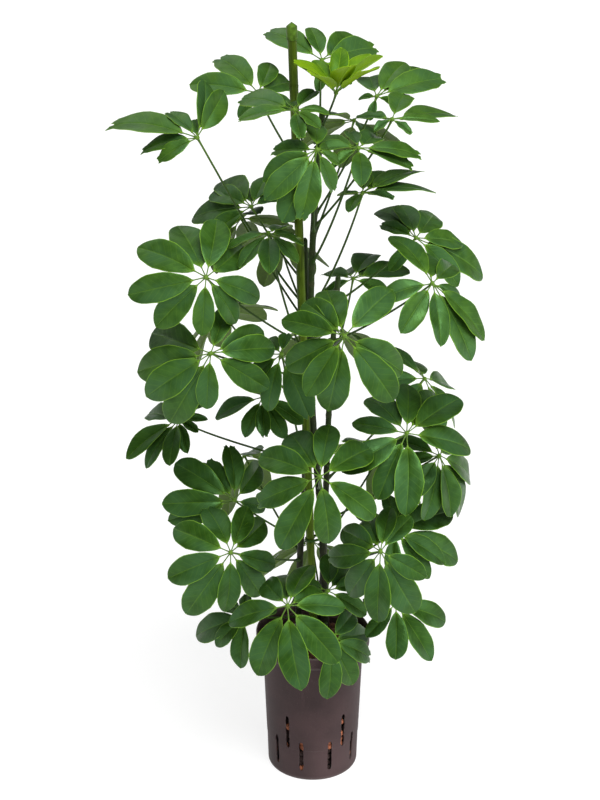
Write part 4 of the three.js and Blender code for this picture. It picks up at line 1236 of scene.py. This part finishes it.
class PLANT_OT_stage(bpy.types.Operator):
    """Set up the camera, the pale floor and the soft studio light"""

    bl_idname = "plant.stage"
    bl_label = "Stage"

    def execute(self, context):
        looks = settings().stage
        camera = bpy.data.objects.new("camera", bpy.data.cameras.new("camera"))
        camera.data.sensor_width, camera.data.lens, camera.data.clip_end = 36, looks.focal_length, 50
        camera.location = looks.camera_place
        camera.rotation_euler = (math.pi / 2 - looks.camera_pitch, 0, 0)
        context.scene.collection.objects.link(camera)
        context.scene.camera = camera
        self.add_floor(context)
        for name, (kind, width, place) in LIGHTS.items():
            light = bpy.data.lights.new(name, kind)
            light.energy = getattr(looks, f"{name}_strength")
            setattr(light, "angle" if kind == "SUN" else "size", width)
            self.aim(context, light, place)
        world = bpy.data.worlds.new("room")
        world.use_nodes = True
        room = world.node_tree.nodes["Background"]
        room.inputs["Color"].default_value = (1, 1, 1, 1)
        room.inputs["Strength"].default_value = looks.sky
        context.scene.world = world
        context.scene.view_settings.view_transform = "Standard"
        return {"FINISHED"}

    def add_floor(self, context):
        """Adds a wide floor at the pot's underside."""
        mesh = bpy.data.meshes.new("floor")
        corners = [(x * FLOOR_REACH, y * FLOOR_REACH, 0) for x, y in ((-1, -1), (1, -1), (1, 1), (-1, 1))]
        mesh.from_pydata(corners, [], [(0, 1, 2, 3)])
        mesh.materials.append(floor_paint())
        floor = bpy.data.objects.new("floor", mesh)
        floor.location.z = CAD_BOX[0].z - 0.0002
        context.scene.collection.objects.link(floor)

    def aim(self, context, light, place):
        """Places a light so that it looks at the plant's middle."""
        made = bpy.data.objects.new(light.name, light)
        made.location = place
        way = (CAD_BOX[0] + CAD_BOX[1]) / 2 - made.location
        made.rotation_euler = way.to_track_quat("-Z", "Y").to_euler()
        context.scene.collection.objects.link(made)


class PLANT_OT_pot(bpy.types.Operator):
    """Make the slotted growing pot"""

    bl_idname = "plant.pot"
    bl_label = "Growing Pot"

    def execute(self, context):
        make_pot(settings().pot)
        return {"FINISHED"}


class PLANT_OT_pebbles(bpy.types.Operator):
    """Make the clay pebbles in the pot"""

    bl_idname = "plant.pebbles"
    bl_label = "Clay Pebbles"

    def execute(self, context):
        make_pebbles(settings().pebbles, settings().pot)
        return {"FINISHED"}


class PLANT_OT_stake(bpy.types.Operator):
    """Make the stake, its cap and the plant ties"""

    bl_idname = "plant.stake"
    bl_label = "Stake, Cap and Ties"

    def execute(self, context):
        looks = settings().stake
        make_stake(looks)
        make_cap(looks)
        for index, height in enumerate(TIE_HEIGHTS):
            make_tie(index, height, looks)
        return {"FINISHED"}


class PLANT_OT_stems(bpy.types.Operator):
    """Make the three stems"""

    bl_idname = "plant.stems"
    bl_label = "Stems"

    def execute(self, context):
        for name, stem in STEMS.items():
            make_stem(name, stem)
        return {"FINISHED"}


class PLANT_OT_leaves(bpy.types.Operator):
    """Make the compound leaves"""

    bl_idname = "plant.leaves"
    bl_label = "Leaves"

    def execute(self, context):
        grown = [leaf_top(), leaf_underside(), leaf_stalk()]
        young = [leaf_top(young=True), leaf_underside(young=True), leaf_stalk()]
        for index, leaf in enumerate(LEAVES):
            make_leaf(leaf, index, settings().leaves, young if leaf.young else grown)
        return {"FINISHED"}


class PLANT_PT_panel(bpy.types.Panel):
    """The plant's operators and settings"""

    bl_idname = "PLANT_PT_panel"
    bl_label = "Potted Umbrella Plant"
    bl_space_type = "VIEW_3D"
    bl_region_type = "UI"
    bl_category = "Plant"

    def draw(self, context):
        for operator, name in PARTS:
            box = self.layout.box()
            box.operator(operator.bl_idname)
            looks = getattr(settings(), name)
            for setting in looks.bl_rna.properties.keys():
                if setting not in {"rna_type", "name"}:
                    box.prop(looks, setting)


PARTS = ((PLANT_OT_stage, "stage"), (PLANT_OT_pot, "pot"), (PLANT_OT_pebbles, "pebbles"),
         (PLANT_OT_stake, "stake"), (PLANT_OT_stems, "stems"), (PLANT_OT_leaves, "leaves"))
CLASSES = (PotSettings, PebbleSettings, StakeSettings, StemSettings, LeafSettings, StageSettings,
           PlantSettings, *(operator for operator, name in PARTS), PLANT_PT_panel)


def register():
    for made in CLASSES:
        bpy.utils.register_class(made)
    bpy.types.Scene.umbrella_plant = PointerProperty(type=PlantSettings, name="Umbrella Plant",
                                                     description="Settings of the umbrella plant")


def unregister():
    del bpy.types.Scene.umbrella_plant
    for made in reversed(CLASSES):
        bpy.utils.unregister_class(made)


def main():
    register()
    bpy.ops.plant.stage()
    bpy.ops.plant.pot()
    bpy.ops.plant.pebbles()
    bpy.ops.plant.stake()
    bpy.ops.plant.stems()
    bpy.ops.plant.leaves()


if __name__ == "__main__":
    main()
